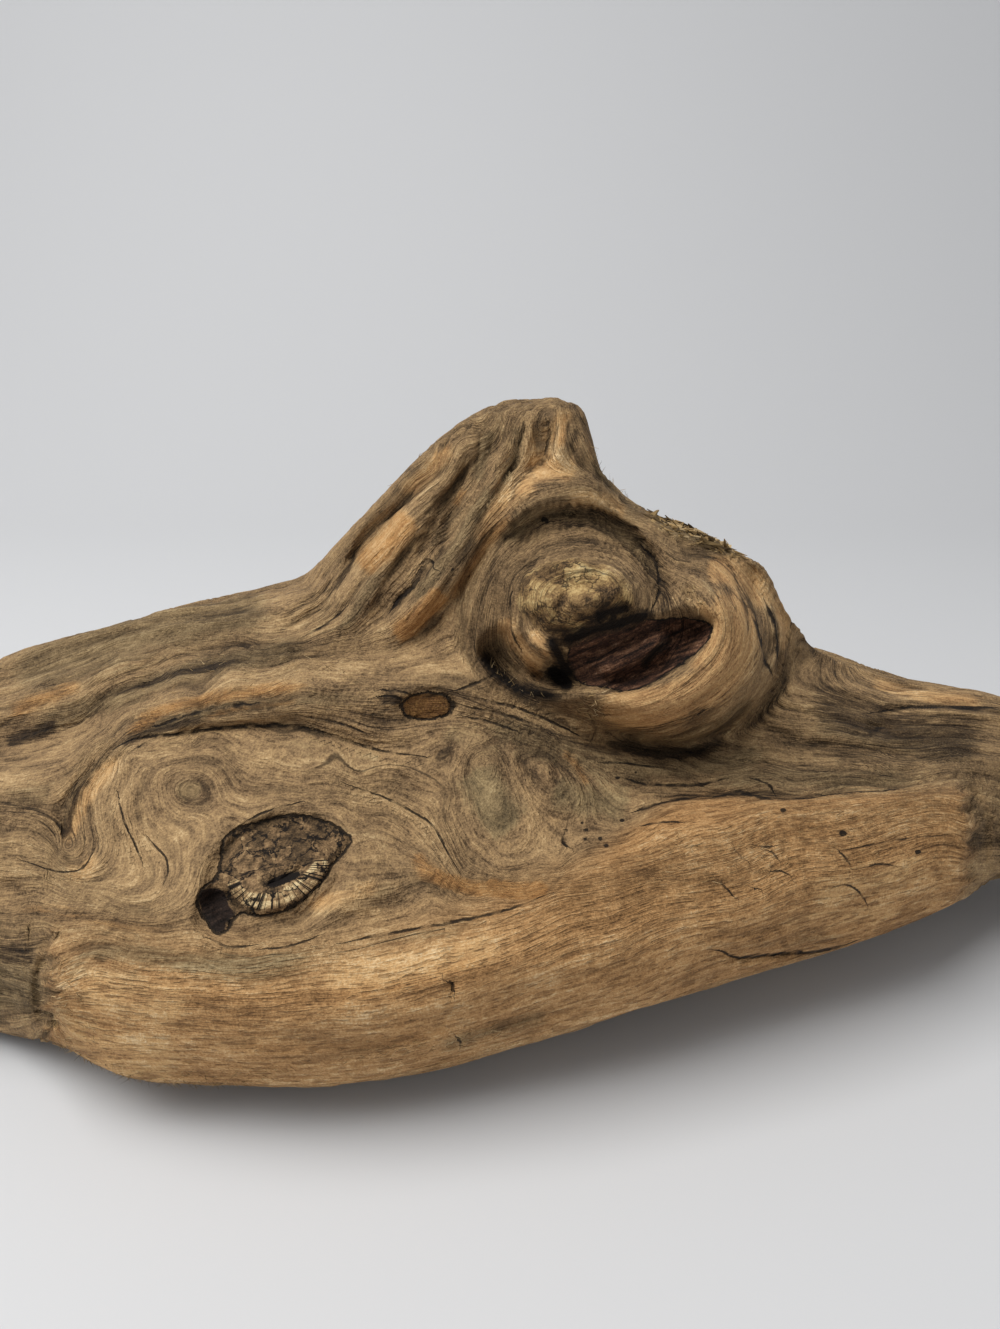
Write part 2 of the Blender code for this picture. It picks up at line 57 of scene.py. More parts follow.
FORWARD = np.array((0.0, math.cos(EYE_PITCH), -math.sin(EYE_PITCH)))
UPWARD = np.array((0.0, math.sin(EYE_PITCH), math.cos(EYE_PITCH)))

# Rails seen from the front: (across, up, depth behind the datum), from left to right
SEEN_RAILS = {
    "lower edge": (
        (-125, -91, -82), (-110, -95, -90), (-95, -102, -97), (-75, -104, -99), (-42, -104, -100),
        (-17, -100, -97), (0, -95, -94), (25, -88, -88), (50, -80, -80), (75, -73, -71), (100, -66, -60),
        (116, -58, -52), (125, -51, -46),
    ),
    "slab face": (
        (-125, -80, -87), (-100, -86, -99), (-75, -89, -104), (-42, -88, -105), (-17, -85, -102),
        (0, -80, -99), (25, -73, -93), (50, -65, -85), (75, -56, -75), (100, -50, -63), (121, -45, -52),
    ),
    "slab top": (
        (-125, -68, -82), (-85, -71, -96), (-55, -74, -98), (-25, -71, -95), (0, -65, -90), (25, -54, -80),
        (50, -44, -69), (75, -38, -58), (100, -35, -50), (121, -33, -44),
    ),
    "knot band": (
        (-125, -54, -66), (-100, -55, -76), (-75, -54, -80), (-56, -53, -81), (-25, -50, -76), (0, -46, -67),
        (25, -40, -57), (50, -35, -49), (75, -31, -43), (100, -29, -37), (121, -27, -33),
    ),
    "swirl band": (
        (-125, -33, -42), (-100, -34, -51), (-77, -33, -54), (-50, -33, -55), (-25, -31, -52), (0, -28, -47),
        (25, -27, -41), (50, -27, -35), (75, -24, -27), (100, -21, -21), (121, -20, -18),
    ),
    "brow": (
        (-125, -20, -14), (-105, -17, -22), (-85, -12, -27), (-62, -8, -30), (-37, -6, -31), (-12, -7, -30),
        (5, -12, -32), (25, -19, -34), (50, -20, -29), (75, -16, -16), (100, -14, -7), (121, -13, -4),
    ),
    "valley": (
        (-125, -9, 5), (-105, -4, 0), (-85, 0, -4), (-62, 4, -8), (-37, 4, -12), (-17, 4, -18), (0, 4, -22),
        (25, 2, -24), (50, 1, -20), (75, -6, -2), (100, -9, 8), (121, -9, 10),
    ),
    "collar": (
        (-125, -2, 22), (-105, 3, 18), (-85, 7, 14), (-62, 12, 9), (-45, 14, 1), (-25, 19, -9), (-5, 21, -17),
        (15, 20, -21), (35, 19, -19), (55, 14, -12), (75, 0, 10), (100, -6, 18), (121, -7, 18),
    ),
    "flank": (
        (-125, 1, 35), (-100, 9, 32), (-75, 14, 28), (-50, 19, 18), (-35, 28, 8), (-18, 41, 1), (0, 47, -4),
        (15, 47, -6), (30, 37, -5), (50, 29, -2), (68, 15, 6), (82, 1, 20), (100, -5, 24), (121, -7, 24),
    ),
    "crest": (
        (-124, 1, 47), (-111, 6, 46), (-99, 9, 44), (-86, 13, 42), (-74, 15, 40), (-61, 18, 37),
        (-51, 20, 33), (-42, 28, 26), (-30, 41, 18), (-17, 54, 12), (-5, 62, 8), (8, 64, 6), (16, 65, 6),
        (21, 63, 6), (25, 50, 8), (30, 43, 9), (37, 38, 9), (51, 32, 8), (61, 27, 8), (66, 24, 9),
        (70, 15, 15), (76, 6, 21), (82, 2, 25), (95, -3, 28), (114, -6, 29), (124, -7.5, 29),
    ),
}

# Rails of the back and the underside: (x, y, z)
HIDDEN_RAILS = {
    "back shoulder": (
        (-182, 70, 58), (-150, 76, 68), (-110, 76, 82), (-75, 70, 92), (-50, 60, 108), (-28, 50, 134),
        (-8, 46, 151), (8, 46, 156), (20, 46, 152), (30, 46, 132), (48, 47, 122), (72, 50, 106),
        (95, 56, 80), (130, 60, 62), (165, 56, 52),
    ),
    "back": (
        (-182, 82, 44), (-150, 92, 50), (-110, 98, 58), (-75, 97, 68), (-40, 88, 84), (-10, 76, 102),
        (15, 70, 104), (45, 70, 90), (80, 76, 66), (120, 78, 48), (160, 70, 42),
    ),
    "back foot": (
        (-182, 72, 24), (-150, 84, 22), (-110, 92, 23), (-75, 92, 24), (-40, 86, 28), (0, 76, 32),
        (40, 72, 27), (80, 72, 20), (120, 68, 18), (160, 60, 19),
    ),
    "under back": (
        (-182, 40, 10), (-150, 46, 6), (-110, 48, 2), (-75, 46, -3), (-40, 42, -5), (0, 38, -3), (40, 34, 2),
        (80, 32, 5), (120, 29, 9), (160, 26, 13),
    ),
    "under front": (
        (-182, -16, 9), (-150, -24, 5), (-110, -32, 1), (-75, -38, -3), (-40, -42, -5), (0, -40, -3),
        (40, -32, 3), (80, -22, 6), (120, -12, 12), (160, -6, 17),
    ),
    "under slab": (
        (-182, -46, 12), (-150, -56, 8), (-110, -66, 5), (-75, -74, 4), (-40, -78, 5), (0, -72, 9),
        (40, -62, 15), (80, -48, 21), (120, -34, 27), (160, -24, 29),
    ),
}

# The sections towards each end, past what the drawing shows: x, then (y, z) on each rail in order
END_SECTIONS = (
    (-196, (
        (-56, 12), (-62, 28), (-58, 40), (-46, 45), (-26, 50), (-5, 53), (13, 60), (29, 62), (43, 61),
        (55, 56), (66, 49), (74, 38), (64, 22), (36, 10), (-12, 9), (-42, 10),
    )),
    (-214, (
        (-46, 13), (-51, 26), (-47, 36), (-37, 41), (-22, 46), (-5, 50), (10, 55), (24, 57), (36, 55),
        (46, 51), (55, 44), (60, 34), (54, 21), (30, 12), (-10, 10), (-34, 11),
    )),
    (-230, (
        (-38, 14), (-42, 24), (-39, 33), (-30, 38), (-18, 42), (-5, 46), (8, 49), (20, 50), (30, 48),
        (39, 44), (46, 38), (49, 30), (44, 20), (25, 12), (-8, 10), (-27, 11),
    )),
    (190, (
        (-24, 33), (-27, 43), (-22, 52), (-13, 56), (-3, 57), (8, 61), (17, 62), (26, 60), (33, 58), (40, 53),
        (48, 46), (51, 36), (46, 22), (26, 15), (2, 18), (-14, 24),
    )),
    (212, (
        (-15, 30), (-18, 39), (-14, 47), (-7, 51), (2, 51), (11, 55), (19, 56), (27, 54), (33, 51), (38, 47),
        (43, 41), (45, 33), (40, 22), (25, 17), (6, 19), (-7, 24),
    )),
    (230, (
        (-8, 29), (-10, 36), (-8, 42), (-2, 46), (5, 46), (12, 50), (19, 50), (25, 48), (31, 45), (35, 42),
        (38, 37), (39, 32), (35, 24), (23, 20), (9, 21), (-2, 25),
    )),
)
SEEN = len(SEEN_RAILS)
RAILS = SEEN + len(HIDDEN_RAILS)

# Burl: how far its edge lies from its centre on the drawing at each eighth turn, from across anticlockwise,
# and how wide the fall at that edge is
BURL_CENTRE = (39.0, 5.0)
BURL_REACH = (33.0, 30.0, 31.0, 40.0, 42.0, 26.0, 25.0, 28.0)
BURL_FALL = (13.0, 18.0, 24.0, 28.0, 26.0, 14.0, 11.0, 11.0)
BURL_STEEP_FALLS = (22.0, 14.0)
BURL_HEIGHT = 21.0

# Front slab: the eroded outer layer that stands proud, between a torn left end and a round right end
SLAB_LEFT = -114.0
SLAB_RIGHT = 120.0
SLAB_PROUD = 9.0
SLAB_TOP = ((-130, -69), (-85, -71), (-55, -74), (-25, -69), (0, -58), (25, -47), (40, -36), (75, -33),
            (122, -31))

# Mouth of the burl: the outline of the rotted hollow under the eye knot
MOUTH_OUTLINE = (
    (-5, 3), (-1, 8), (5, 6), (11, 2), (19, 5), (28, 8), (38, 11), (47, 13), (53, 11), (51, 5), (45, -1),
    (37, -5), (30, -7), (22, -6), (16, -7), (9, -6), (1, -4),
)
MOUTH_DEPTH = 16.5
MOUTH_FALL = 4.0

# Mounds: centre, half sizes, turn in degrees, share of the radius at which the fall starts, height
MOUNDS = {
    "knot swelling": ((-56, -53), (31, 26), 20, 0.5, 4.5),
    "knot recess": ((-56, -53), (18.5, 14), 22, 0.86, -5.0),
    "knot plug": ((-54.5, -52), (14.5, 10), 22, 0.7, 4.0),
    "knot pocket": ((-70.5, -62), (6, 7), -60, 0.6, -5.0),
    "small knot": ((-18, -10.5), (8, 4.5), 0, 0.6, -2.5),
    "left swirl": ((-77, -32), (17, 15), 0, 0.2, 2.5),
    "right swirl": ((0, -32), (22, 16), 0, 0.2, 2.5),
    "hollow between swirls": ((-28, -42), (16, 13), 30, 0.1, -2.5),
    "eye socket": ((22, 17), (26, 17), 0, 0.5, -6.0),
    "eye knot": ((19, 18), (19, 12), -4, 0.3, 8.5),
    "eye nose": ((9, 10), (8, 12), 18, 0.2, 5.0),
    "eye brow lump": ((32, 20), (9, 7), 0, 0.2, 3.0),
    "mouth floor": ((33, 3), (19, 7), 12, 0.4, 4.0),
    "peak notch": ((10, 53), (5, 9), -10, 0.4, -3.0),
    "peak knob": ((17, 54), (6, 6), 0, 0.4, 2.5),
    "trunk left of the slab": ((-160, -82), (47, 30), 0, 0.7, -7.0),
    "trunk right of the slab": ((155, -46), (37, 19), 0, 0.7, -6.0),
}

# Strokes worked along the grain: path on the drawing, half width, height (a groove is negative)
STROKES = {
    "lip": (((52, 24), (57, 17), (59, 8), (56, 1), (49, -6), (39, -11), (30, -12), (22, -9)), 6.5, 6.0),
    "lip crease": (((61, 26), (64, 19), (67, 9), (68, 1)), 2.2, -3.5),
    "under lip": (((20, -14), (27, -18), (40, -21), (50, -20), (60, -16), (68, -8), (73, 1)), 3.6, -7.0),
    "brow groove": (((2, 25), (7, 32), (15, 36), (25, 34), (34, 28), (39, 19), (38, 9)), 4.0, -5.5),
    "brow ridge": (((-2, 28), (5, 38), (16, 43), (28, 41), (38, 34), (44, 23)), 4.5, 4.0),
    "flank fold": (((-66, 8), (-45, 12), (-37, 20), (-33, 30), (-22, 44), (-12, 57)), 3.4, -4.5),
    "flank ridge": (((-50, 7), (-40, 12), (-32, 22), (-26, 33), (-16, 46), (-8, 60)), 3.6, 3.5),
    "second fold": (((-36, 7), (-29, 14), (-22, 24), (-14, 34), (-10, 44), (-3, 60)), 3.2, -3.5),
    "second ridge": (((-33, 2), (-21, 14), (-14, 25), (-7, 36), (-2, 47), (2, 60)), 3.4, 3.0),
    "inner fold": (((-28, 0), (-16, 10), (-8, 20), (-3, 29), (4, 42)), 3.0, -3.5),
    "left fold": (((-94, -20), (-101, -29), (-106, -39), (-110, -47)), 6.0, -6.0),
    "left roll": (((-80, -18), (-92, -28), (-97, -40), (-91, -52)), 5.0, 3.0),
    "back ridge groove": (((-190, -16), (-160, -14), (-130, -7), (-110, 1), (-95, 4), (-68, 6), (-50, 14)),
                          3.8, -6.0),
    "left valley": (((-190, -34), (-160, -26), (-130, -20), (-110, -17), (-97, -9), (-82, -2), (-60, 2)),
                    4.5, -6.0),
    "left split": (((-190, -52), (-165, -50), (-140, -52), (-122, -58), (-112, -64)), 4.0, -5.0),
    "brow roll": (((-92, -20), (-75, -12), (-55, -8), (-30, -6), (-10, -7), (5, -12)), 5.0, 3.5),
    "brow cracks": (((-95, -26), (-82, -20), (-67, -17), (-50, -16), (-33, -20), (-17, -22)), 3.0, -3.0),
    "stub crack": (((-5, -4), (6, -9), (20, -16), (34, -22)), 2.6, -3.0),
    "ledge crack": (((38, -34), (60, -33), (85, -31), (108, -30)), 2.5, -3.0),
    "saddle fold": (((74, -4), (88, -11), (104, -15), (126, -16), (150, -18), (174, -16)), 4.0, -4.5),
    "saddle roll": (((76, 1), (90, -6), (106, -9), (126, -10), (150, -9)), 4.0, 2.0),
    "right split": (((112, -31), (126, -31), (145, -33), (170, -30)), 4.5, -5.0),
    "slab split": (((-60, -67), (-25, -62), (0, -55), (13, -52)), 3.0, -2.0),
}

# Strokes on the far side: path as (x, z) seen from behind, half width, height
FAR_STROKES = {
    "long fold": (((-228, 38), (-190, 42), (-120, 50), (-60, 62), (-20, 84), (-2, 116)), 7.0, -8.0),
    "long ridge": (((-180, 58), (-110, 68), (-50, 84), (-18, 112), (2, 138)), 6.0, 5.0),
    "second fold": (((-200, 58), (-140, 72), (-84, 86), (-44, 108), (-20, 138)), 5.0, -4.5),
    "right fold": (((226, 38), (186, 42), (120, 50), (74, 62), (42, 88), (26, 124)), 6.0, -8.0),
    "right ridge": (((170, 52), (110, 64), (66, 80), (40, 108), (24, 138)), 5.5, 4.5),
    "low fold": (((-200, 24), (-150, 24), (-90, 28), (-30, 34), (40, 38), (110, 32)), 6.0, -6.5),
    "low ridge": (((-150, 36), (-80, 44), (-10, 56), (50, 50), (120, 40)), 7.0, 4.5),
    "foot fold": (((-90, 13), (-30, 16), (40, 20), (120, 22), (190, 30)), 5.0, -5.0),
    "stub split": (((8, 152), (9, 124), (16, 100), (14, 82)), 4.0, -7.0),
}
FAR_KNOT = ((-74.0, 58.0), (17.0, 12.0), 12.0, 6.0)
FAR_KNOT_HEART = (8, 6)

# Swell: long, low waves that run with the grain. Waves along the length, waves round, height
SWELLS = ((2.0, 5.0, 1.3), (3.0, 8.0, 1.1), (5.0, 11.0, 0.7), (7.0, 17.0, 0.5))

# Rounding of the two ends: over what length, how squarely, how the end face slants and lobes round
# the section, how far from the end the folds and ridges die out, and how far from it the last ring is
END_ROUNDING = 26.0
END_SLANT = (14.0, 11.0)
END_LOBE = (7.0, 6.0)
END_POWER = 3.6
END_FADE = (2.0, 24.0)
LAST_RING = 0.06


# Finer folds and ridges, traced on the photograph: half width in its pixels, height in millimetres, then the
# path in pixels
PIXEL = 0.25
MIDDLE = np.array((500.0, 664.5))
FINE_STROKES = {
    "stub foot fold": (5, -2.0, (300, 618), (322, 600), (338, 580), (350, 560), (372, 530)),
    "stub foot ridge": (5, 1.5, (310, 628), (335, 605), (350, 585), (365, 560), (388, 530)),
    "stub second fold": (5, -2.0, (322, 636), (345, 615), (362, 592), (378, 566), (400, 538)),
    "flank crack": (4, -1.8, (386, 616), (398, 600), (410, 588), (421, 570), (440, 545), (455, 520)),
    "brow arc": (5, -2.6, (498, 565), (512, 537), (535, 519), (565, 513), (600, 520), (630, 540),
                 (650, 570), (656, 604)),
    "brow arc ridge": (4, 1.3, (487, 553), (503, 525), (530, 507), (565, 500), (605, 508), (640, 530),
                       (664, 566)),
    "inner arc": (3, -1.6, (520, 560), (540, 541), (570, 532), (605, 538), (632, 556), (646, 584)),
    "peak stripe": (3.4, -2.4, (478, 484), (486, 455), (498, 424)),
    "peak second stripe": (3.4, -2.6, (508, 478), (518, 447), (528, 415)),
    "peak notch": (3, -2.0, (548, 462), (548, 438), (543, 416)),
    "peak right stripe": (4, -2.2, (566, 462), (575, 438), (574, 410)),
    "peak left ridge": (4, 2.4, (490, 490), (499, 462), (507, 438)),
    "peak golden ridge": (5, 2.0, (554, 472), (560, 450), (562, 424)),
    "peak far stripe": (3, -1.8, (588, 462), (590, 440), (587, 418)),
    "stub top ridge": (6, 1.7, (352, 540), (380, 506), (412, 474), (446, 448)),
    "stub top groove": (4, -1.5, (368, 552), (398, 516), (430, 486), (462, 462)),
    "flank golden ridge": (8, 2.0, (404, 628), (430, 600), (458, 566), (484, 532), (512, 500)),
    "flank groove": (4, -2.2, (414, 640), (444, 610), (470, 576), (492, 545)),
    "brow shoulder": (9, 2.2, (500, 510), (530, 488), (570, 482), (610, 492)),
    "left fold line": (3, -1.2, (86, 866), (84, 832), (91, 800), (109, 770), (136, 744)),
    "left roll line": (3, 1.0, (104, 872), (99, 836), (101, 806), (116, 776), (142, 752)),
    "left inner line": (3, -1.0, (122, 866), (117, 832), (117, 800), (130, 772), (158, 754)),
    "brow line": (2.6, -2.0, (108, 753), (134, 740), (179, 734), (223, 728), (265, 726), (303, 728),
                  (335, 737), (383, 751), (424, 756)),
    "brow upper line": (3, -1.6, (150, 722), (190, 708), (240, 701), (300, 696), (360, 694), (400, 697)),
    "knot rim": (2.6, -2.2, (223, 842), (236, 830), (265, 820), (287, 815), (314, 817), (335, 826),
                 (349, 838), (332, 865), (325, 877), (306, 897), (287, 909), (261, 916), (239, 914)),
    "knot slot": (2.8, -3.0, (262, 886), (278, 881), (293, 873), (306, 866)),
    "small knot rim": (2.2, -1.6, (402, 704), (411, 696), (428, 693), (444, 697), (452, 706), (444, 715),
                       (427, 719), (410, 714), (402, 704)),
    "under lip line": (3.5, -2.4, (470, 690), (505, 702), (545, 722), (590, 738), (640, 748), (690, 750),
                       (735, 738)),
    "ledge line": (2.6, -2.0, (640, 808), (690, 798), (740, 792), (800, 796), (860, 790), (930, 786)),
    "right split line": (4, -2.6, (870, 714), (915, 707), (960, 706), (1010, 708)),
    "right hollow": (7, -3.0, (866, 732), (880, 728), (894, 727)),
    "slab pit": (3, -2.0, (448, 978), (452, 986), (451, 995)),
    "mouth lobe": (9, 6.0, (500, 636), (512, 650), (524, 662), (538, 672)),
    "mouth second lobe": (7, 4.4, (528, 640), (540, 652), (552, 660)),
    "bark rise": (13, 7.5, (588, 672), (630, 655), (675, 634)),
    "bark ridge": (3, 1.2, (600, 678), (640, 662), (680, 640)),
    "bark crack": (2.6, -2.0, (640, 672), (656, 652), (676, 636)),
    "crevice": (5, -3.0, (482, 648), (494, 668), (512, 684), (540, 696), (566, 698)),
    "crevice over the bark": (6, -4.0, (556, 656), (566, 644), (584, 634), (612, 625), (645, 616)),
    "crevice left of the bark": (6, -3.4, (548, 650), (556, 668), (566, 688)),
    "eye left lump": (10, 2.2, (540, 572), (536, 592), (544, 612)),
    "eye top lump": (8, 2.0, (560, 574), (578, 568), (592, 570)),
    "eye bright lump": (8, 2.6, (606, 574), (618, 574), (628, 582)),
    "eye low lump": (8, 2.2, (566, 606), (586, 602), (606, 598)),
    "eye crease": (4.4, -1.8, (552, 566), (560, 584), (576, 590), (600, 584), (616, 590)),
    "eye second crease": (4.4, -1.6, (556, 622), (560, 604), (572, 594)),
    "eye hollow": (8, -4.0, (594, 618), (612, 614), (634, 604)),
    "lip torn edge": (4, -2.2, (684, 578), (690, 592), (686, 604), (696, 616), (712, 622)),
    "lip groove": (3, -1.5, (600, 716), (650, 718), (700, 700), (738, 668), (756, 636)),
    "lip right groove": (3.4, -3.4, (748, 560), (756, 596), (764, 634), (768, 664)),
    "lip right ridge": (5, 2.4, (762, 570), (774, 604), (780, 640), (776, 664)),
    "burl crust": (6, 2.0, (648, 520), (680, 532), (712, 542), (744, 552)),
    "crust first step": (4, 1.6, (636, 508), (650, 512), (662, 522)),
    "crust second step": (4, 1.8, (668, 520), (684, 526), (694, 536)),
    "crust third step": (4, 1.5, (706, 532), (722, 538), (734, 548)),
    "crust first gap": (3, -1.8, (664, 532), (662, 518), (660, 506)),
    "crust second gap": (3, -1.8, (702, 546), (700, 532), (698, 520)),
    "left of the slab": (5, -3.5, (52, 936), (44, 955), (38, 980), (38, 1005), (44, 1030)),
    "slab torn edge": (6, 1.8, (62, 948), (58, 980), (62, 1015), (84, 1050)),
    "right of the slab": (4, -2.6, (962, 784), (980, 800), (989, 835), (984, 872)),
    "slab right rim": (6, 1.2, (950, 800), (964, 815), (968, 845), (956, 870)),
    "slab edge split": (3.2, -2.4, (700, 946), (738, 958), (771, 955), (803, 953), (835, 948), (858, 940)),
}

# Sharp folds between the strands of the stub and round the burl: half width in pixels, then the path
FOLD_DEPTH = -1.7
FOLDS = (
    (3.2, (391, 607), (412, 590), (430, 573), (437, 557), (443, 536), (449, 515), (466, 490)),
    (3.0, (470, 498), (474, 473), (478, 452), (482, 426)),
    (3.0, (491, 461), (497, 438), (501, 422)),
    (3.0, (516, 452), (522, 434), (526, 418)),
    (3.4, (549, 456), (556, 436), (557, 418)),
    (4.4, (503, 511), (520, 482), (541, 463), (560, 452)),
    (3.2, (587, 456), (599, 476), (616, 492), (637, 512)),
    (4.2, (595, 496), (620, 519), (641, 540), (657, 565), (662, 586), (655, 611)),
    (4.4, (562, 502), (603, 513), (632, 536), (649, 561), (650, 590)),
    (3.2, (345, 586), (353, 557), (370, 532), (395, 511), (420, 494), (437, 473)),
    (3.0, (270, 640), (295, 623), (320, 611), (338, 602)),
    (3.2, (278, 627), (295, 611), (312, 598), (328, 586), (334, 569)),
    (3.0, (300, 640), (330, 622), (352, 600), (366, 572), (386, 546)),
    (3.0, (414, 560), (424, 540), (434, 520), (446, 500)),
    (3.0, (470, 620), (486, 590), (494, 560), (508, 535), (530, 517)),
    (4.2, (520, 610), (524, 580), (540, 555), (562, 543), (590, 541), (618, 552)),
    (3.2, (716, 548), (730, 566), (740, 590), (748, 620), (744, 648)),
    (4.0, (610, 728), (650, 728), (690, 716), (722, 692)),
    (3.2, (762, 700), (800, 712), (850, 722), (900, 730)),
    (3.0, (752, 722), (800, 740), (860, 748), (930, 752)),
    (3.0, (60, 700), (120, 676), (180, 656), (240, 644), (300, 640)),
    (3.0, (10, 745), (50, 735), (90, 716), (120, 700)),
)


def on_drawing(pixels):
    """Points of the photograph, in its pixels, as (across, up) on the drawing."""
    offset = (np.asarray(pixels, float) - MIDDLE) * PIXEL
    return offset * (1.0, -1.0)


def from_drawing(across, up, depth):
    """The point seen at (across, up) on the drawing, at this depth behind the datum."""
    ray = FORWARD * DRAWING_DISTANCE + UPWARD * up + np.array((across, 0.0, 0.0))
    reach = (depth + DATUM_Y - EYE[1]) / ray[1]
    return EYE + ray * reach


def to_drawing(points):
    """(across, up) on the drawing for each point."""
    sight = points - EYE
    scale = DRAWING_DISTANCE / (sight @ FORWARD)
    return np.stack((sight[:, 0] * scale, (sight @ UPWARD) * scale), axis=1)


def smooth(value, low, high):
    """0 before low, 1 past high, and a smooth step between. High may be the smaller."""
    share = np.clip((value - low) / (high - low), 0.0, 1.0)
    return share * share * (3.0 - 2.0 * share)


def through(knots, values, at):
    """A smooth curve through values at the knots, read at each of at."""
    knots = np.asarray(knots, float)
    values = np.asarray(values, float)
    slopes = np.gradient(values, knots, axis=0)
    place = np.clip(np.searchsorted(knots, at) - 1, 0, len(knots) - 2)
    span = knots[place + 1] - knots[place]
    share = np.clip((at - knots[place]) / span, 0.0, 1.0)
    column = (slice(None),) + (None,) * (values.ndim - 1)
    share, span = share[column], span[column]
    start, end = values[place], values[place + 1]
    bend = share * share * (3.0 - 2.0 * share)
    lead = share * (1.0 - share) ** 2 * span * slopes[place]
    trail = share * share * (share - 1.0) * span * slopes[place + 1]
    return start + (end - start) * bend + lead + trail


def rail_points():
    """The rails in order round the section, each as points (x, y, z) from the left end to the right."""
    rails = [[tuple(from_drawing(*point)) for point in rail] for rail in SEEN_RAILS.values()]
    rails += [list(rail) for rail in HIDDEN_RAILS.values()]
    for x, section in END_SECTIONS:
        for rail, (y, z) in zip(rails, section, strict=True):
            rail.append((x, y, z))
    return [np.array(sorted(rail)) for rail in rails]


def loft(stations, rounds):
    """Points of the form for each station x and each place round the section, before it is worked."""
    rails = np.array([through(rail[:, 0], rail[:, 1:], stations) for rail in rail_points()])
    wrapped = np.concatenate((rails[-3:], rails, rails[:3]))
    section = through(np.arange(-3, RAILS + 3), wrapped, rounds)
    grid = np.empty((len(stations), len(rounds), 3))
    grid[:, :, 0] = stations[:, None]
    grid[:, :, 1:] = section.transpose(1, 0, 2)
    return grid


def outward(grid):
    """The outward normal at each point of a grid that closes round its second side."""
    along = np.gradient(grid, axis=0)
    across = np.roll(grid, -1, axis=1) - np.roll(grid, 1, axis=1)
    normal = np.cross(along, across)
    return normal / np.maximum(np.linalg.norm(normal, axis=2, keepdims=True), 1e-9)


def beside(drawn, path, reach):
    """The drawn points near a path, how far off it and on what side each is, and how far from its ends."""
    path = np.asarray(path, float)
    fine = through(np.arange(len(path)), path, np.linspace(0.0, len(path) - 1.0, 6 * len(path)))
    start, along = fine[:-1], np.diff(fine, axis=0)
    close = (drawn > fine.min(axis=0) - reach) & (drawn < fine.max(axis=0) + reach)
    close = np.flatnonzero(close.all(axis=1))
    offset = drawn[close][:, None, :] - start[None]
    share = np.clip((offset * along).sum(axis=2) / (along**2).sum(axis=1), 0.0, 1.0)
    apart = offset - share[:, :, None] * along
    distance = np.linalg.norm(apart, axis=2)
    nearest = distance.argmin(axis=1)
    row = np.arange(len(close))
    side = np.sign(along[nearest, 0] * apart[row, nearest, 1] - along[nearest, 1] * apart[row, nearest, 0])
    travel = (nearest + share[row, nearest]) / len(start)
    return close, distance[row, nearest], side, np.minimum(travel, 1.0 - travel)


def stroke_field(drawn, path, half_width):
    """How strongly each drawn point is under a brush of this half width moved along the path."""
    close, distance, _, from_end = beside(drawn, path, 3.0 * half_width)
    field = np.zeros(len(drawn))
    field[close] = np.exp(-((distance / half_width) ** 2)) * smooth(from_end, 0.0, 0.2)
    return field


def mound_field(drawn, centre, half, turn, start):
    """1 inside a turned ellipse, falling smoothly to 0 just past its edge."""
    angle = math.radians(turn)
    offset = drawn - np.array(centre, float)
    along = (offset[:, 0] * math.cos(angle) + offset[:, 1] * math.sin(angle)) / half[0]
    over = (offset[:, 1] * math.cos(angle) - offset[:, 0] * math.sin(angle)) / half[1]
    return 1.0 - smooth(np.hypot(along, over), start, 1.15)


def outline_depth(drawn, outline):
    """How far inside a closed smooth outline each point lies. Outside it is negative."""
    outline = np.asarray(outline, float)
    count = len(outline)
    wrapped = np.concatenate((outline[-2:], outline, outline[:3]))
    fine = through(np.arange(-2, count + 3), wrapped, np.linspace(0.0, count, 4 * count, endpoint=False))
    after = np.roll(fine, -1, axis=0)
    along = after - fine
    offset = drawn[:, None, :] - fine[None]
    share = np.clip((offset * along).sum(axis=2) / (along**2).sum(axis=1), 0.0, 1.0)
    distance = np.linalg.norm(offset - share[:, :, None] * along, axis=2).min(axis=1)
    height = drawn[:, 1:2]
    crosses = (fine[:, 1] > height) != (after[:, 1] > height)
    reach = fine[:, 0] + (height - fine[:, 1]) * along[:, 0] / np.where(along[:, 1] == 0.0, 1e-9, along[:, 1])
    inside = (crosses & (drawn[:, 0:1] < reach)).sum(axis=1) % 2 == 1
    return np.where(inside, distance, -distance)


def outline_field(drawn, outline, fall):
    """1 inside a closed smooth outline, falling to 0 across its edge."""
    return smooth(outline_depth(drawn, outline), -fall / 2.0, fall)


def burl_field(drawn):
    """1 over the burl, falling steeply on its lower right and gently into the stub on its upper left."""
    offset = drawn - np.array(BURL_CENTRE)
    eighth = np.degrees(np.arctan2(offset[:, 1], offset[:, 0])) / 45.0 % 8.0
    knots = np.arange(-2, 11)
    reach = through(knots, np.take(BURL_REACH, knots % 8), eighth)
    fall = through(knots, np.take(BURL_FALL, knots % 8), eighth)
    inside = reach - np.hypot(offset[:, 0], offset[:, 1])
    gentle = smooth(inside, -0.3 * fall, fall)
    bulging = 1.0 - (1.0 - np.clip(inside / fall, 0.0, 1.0)) ** 2.6
    return gentle + (bulging - gentle) * smooth(fall, *BURL_STEEP_FALLS)


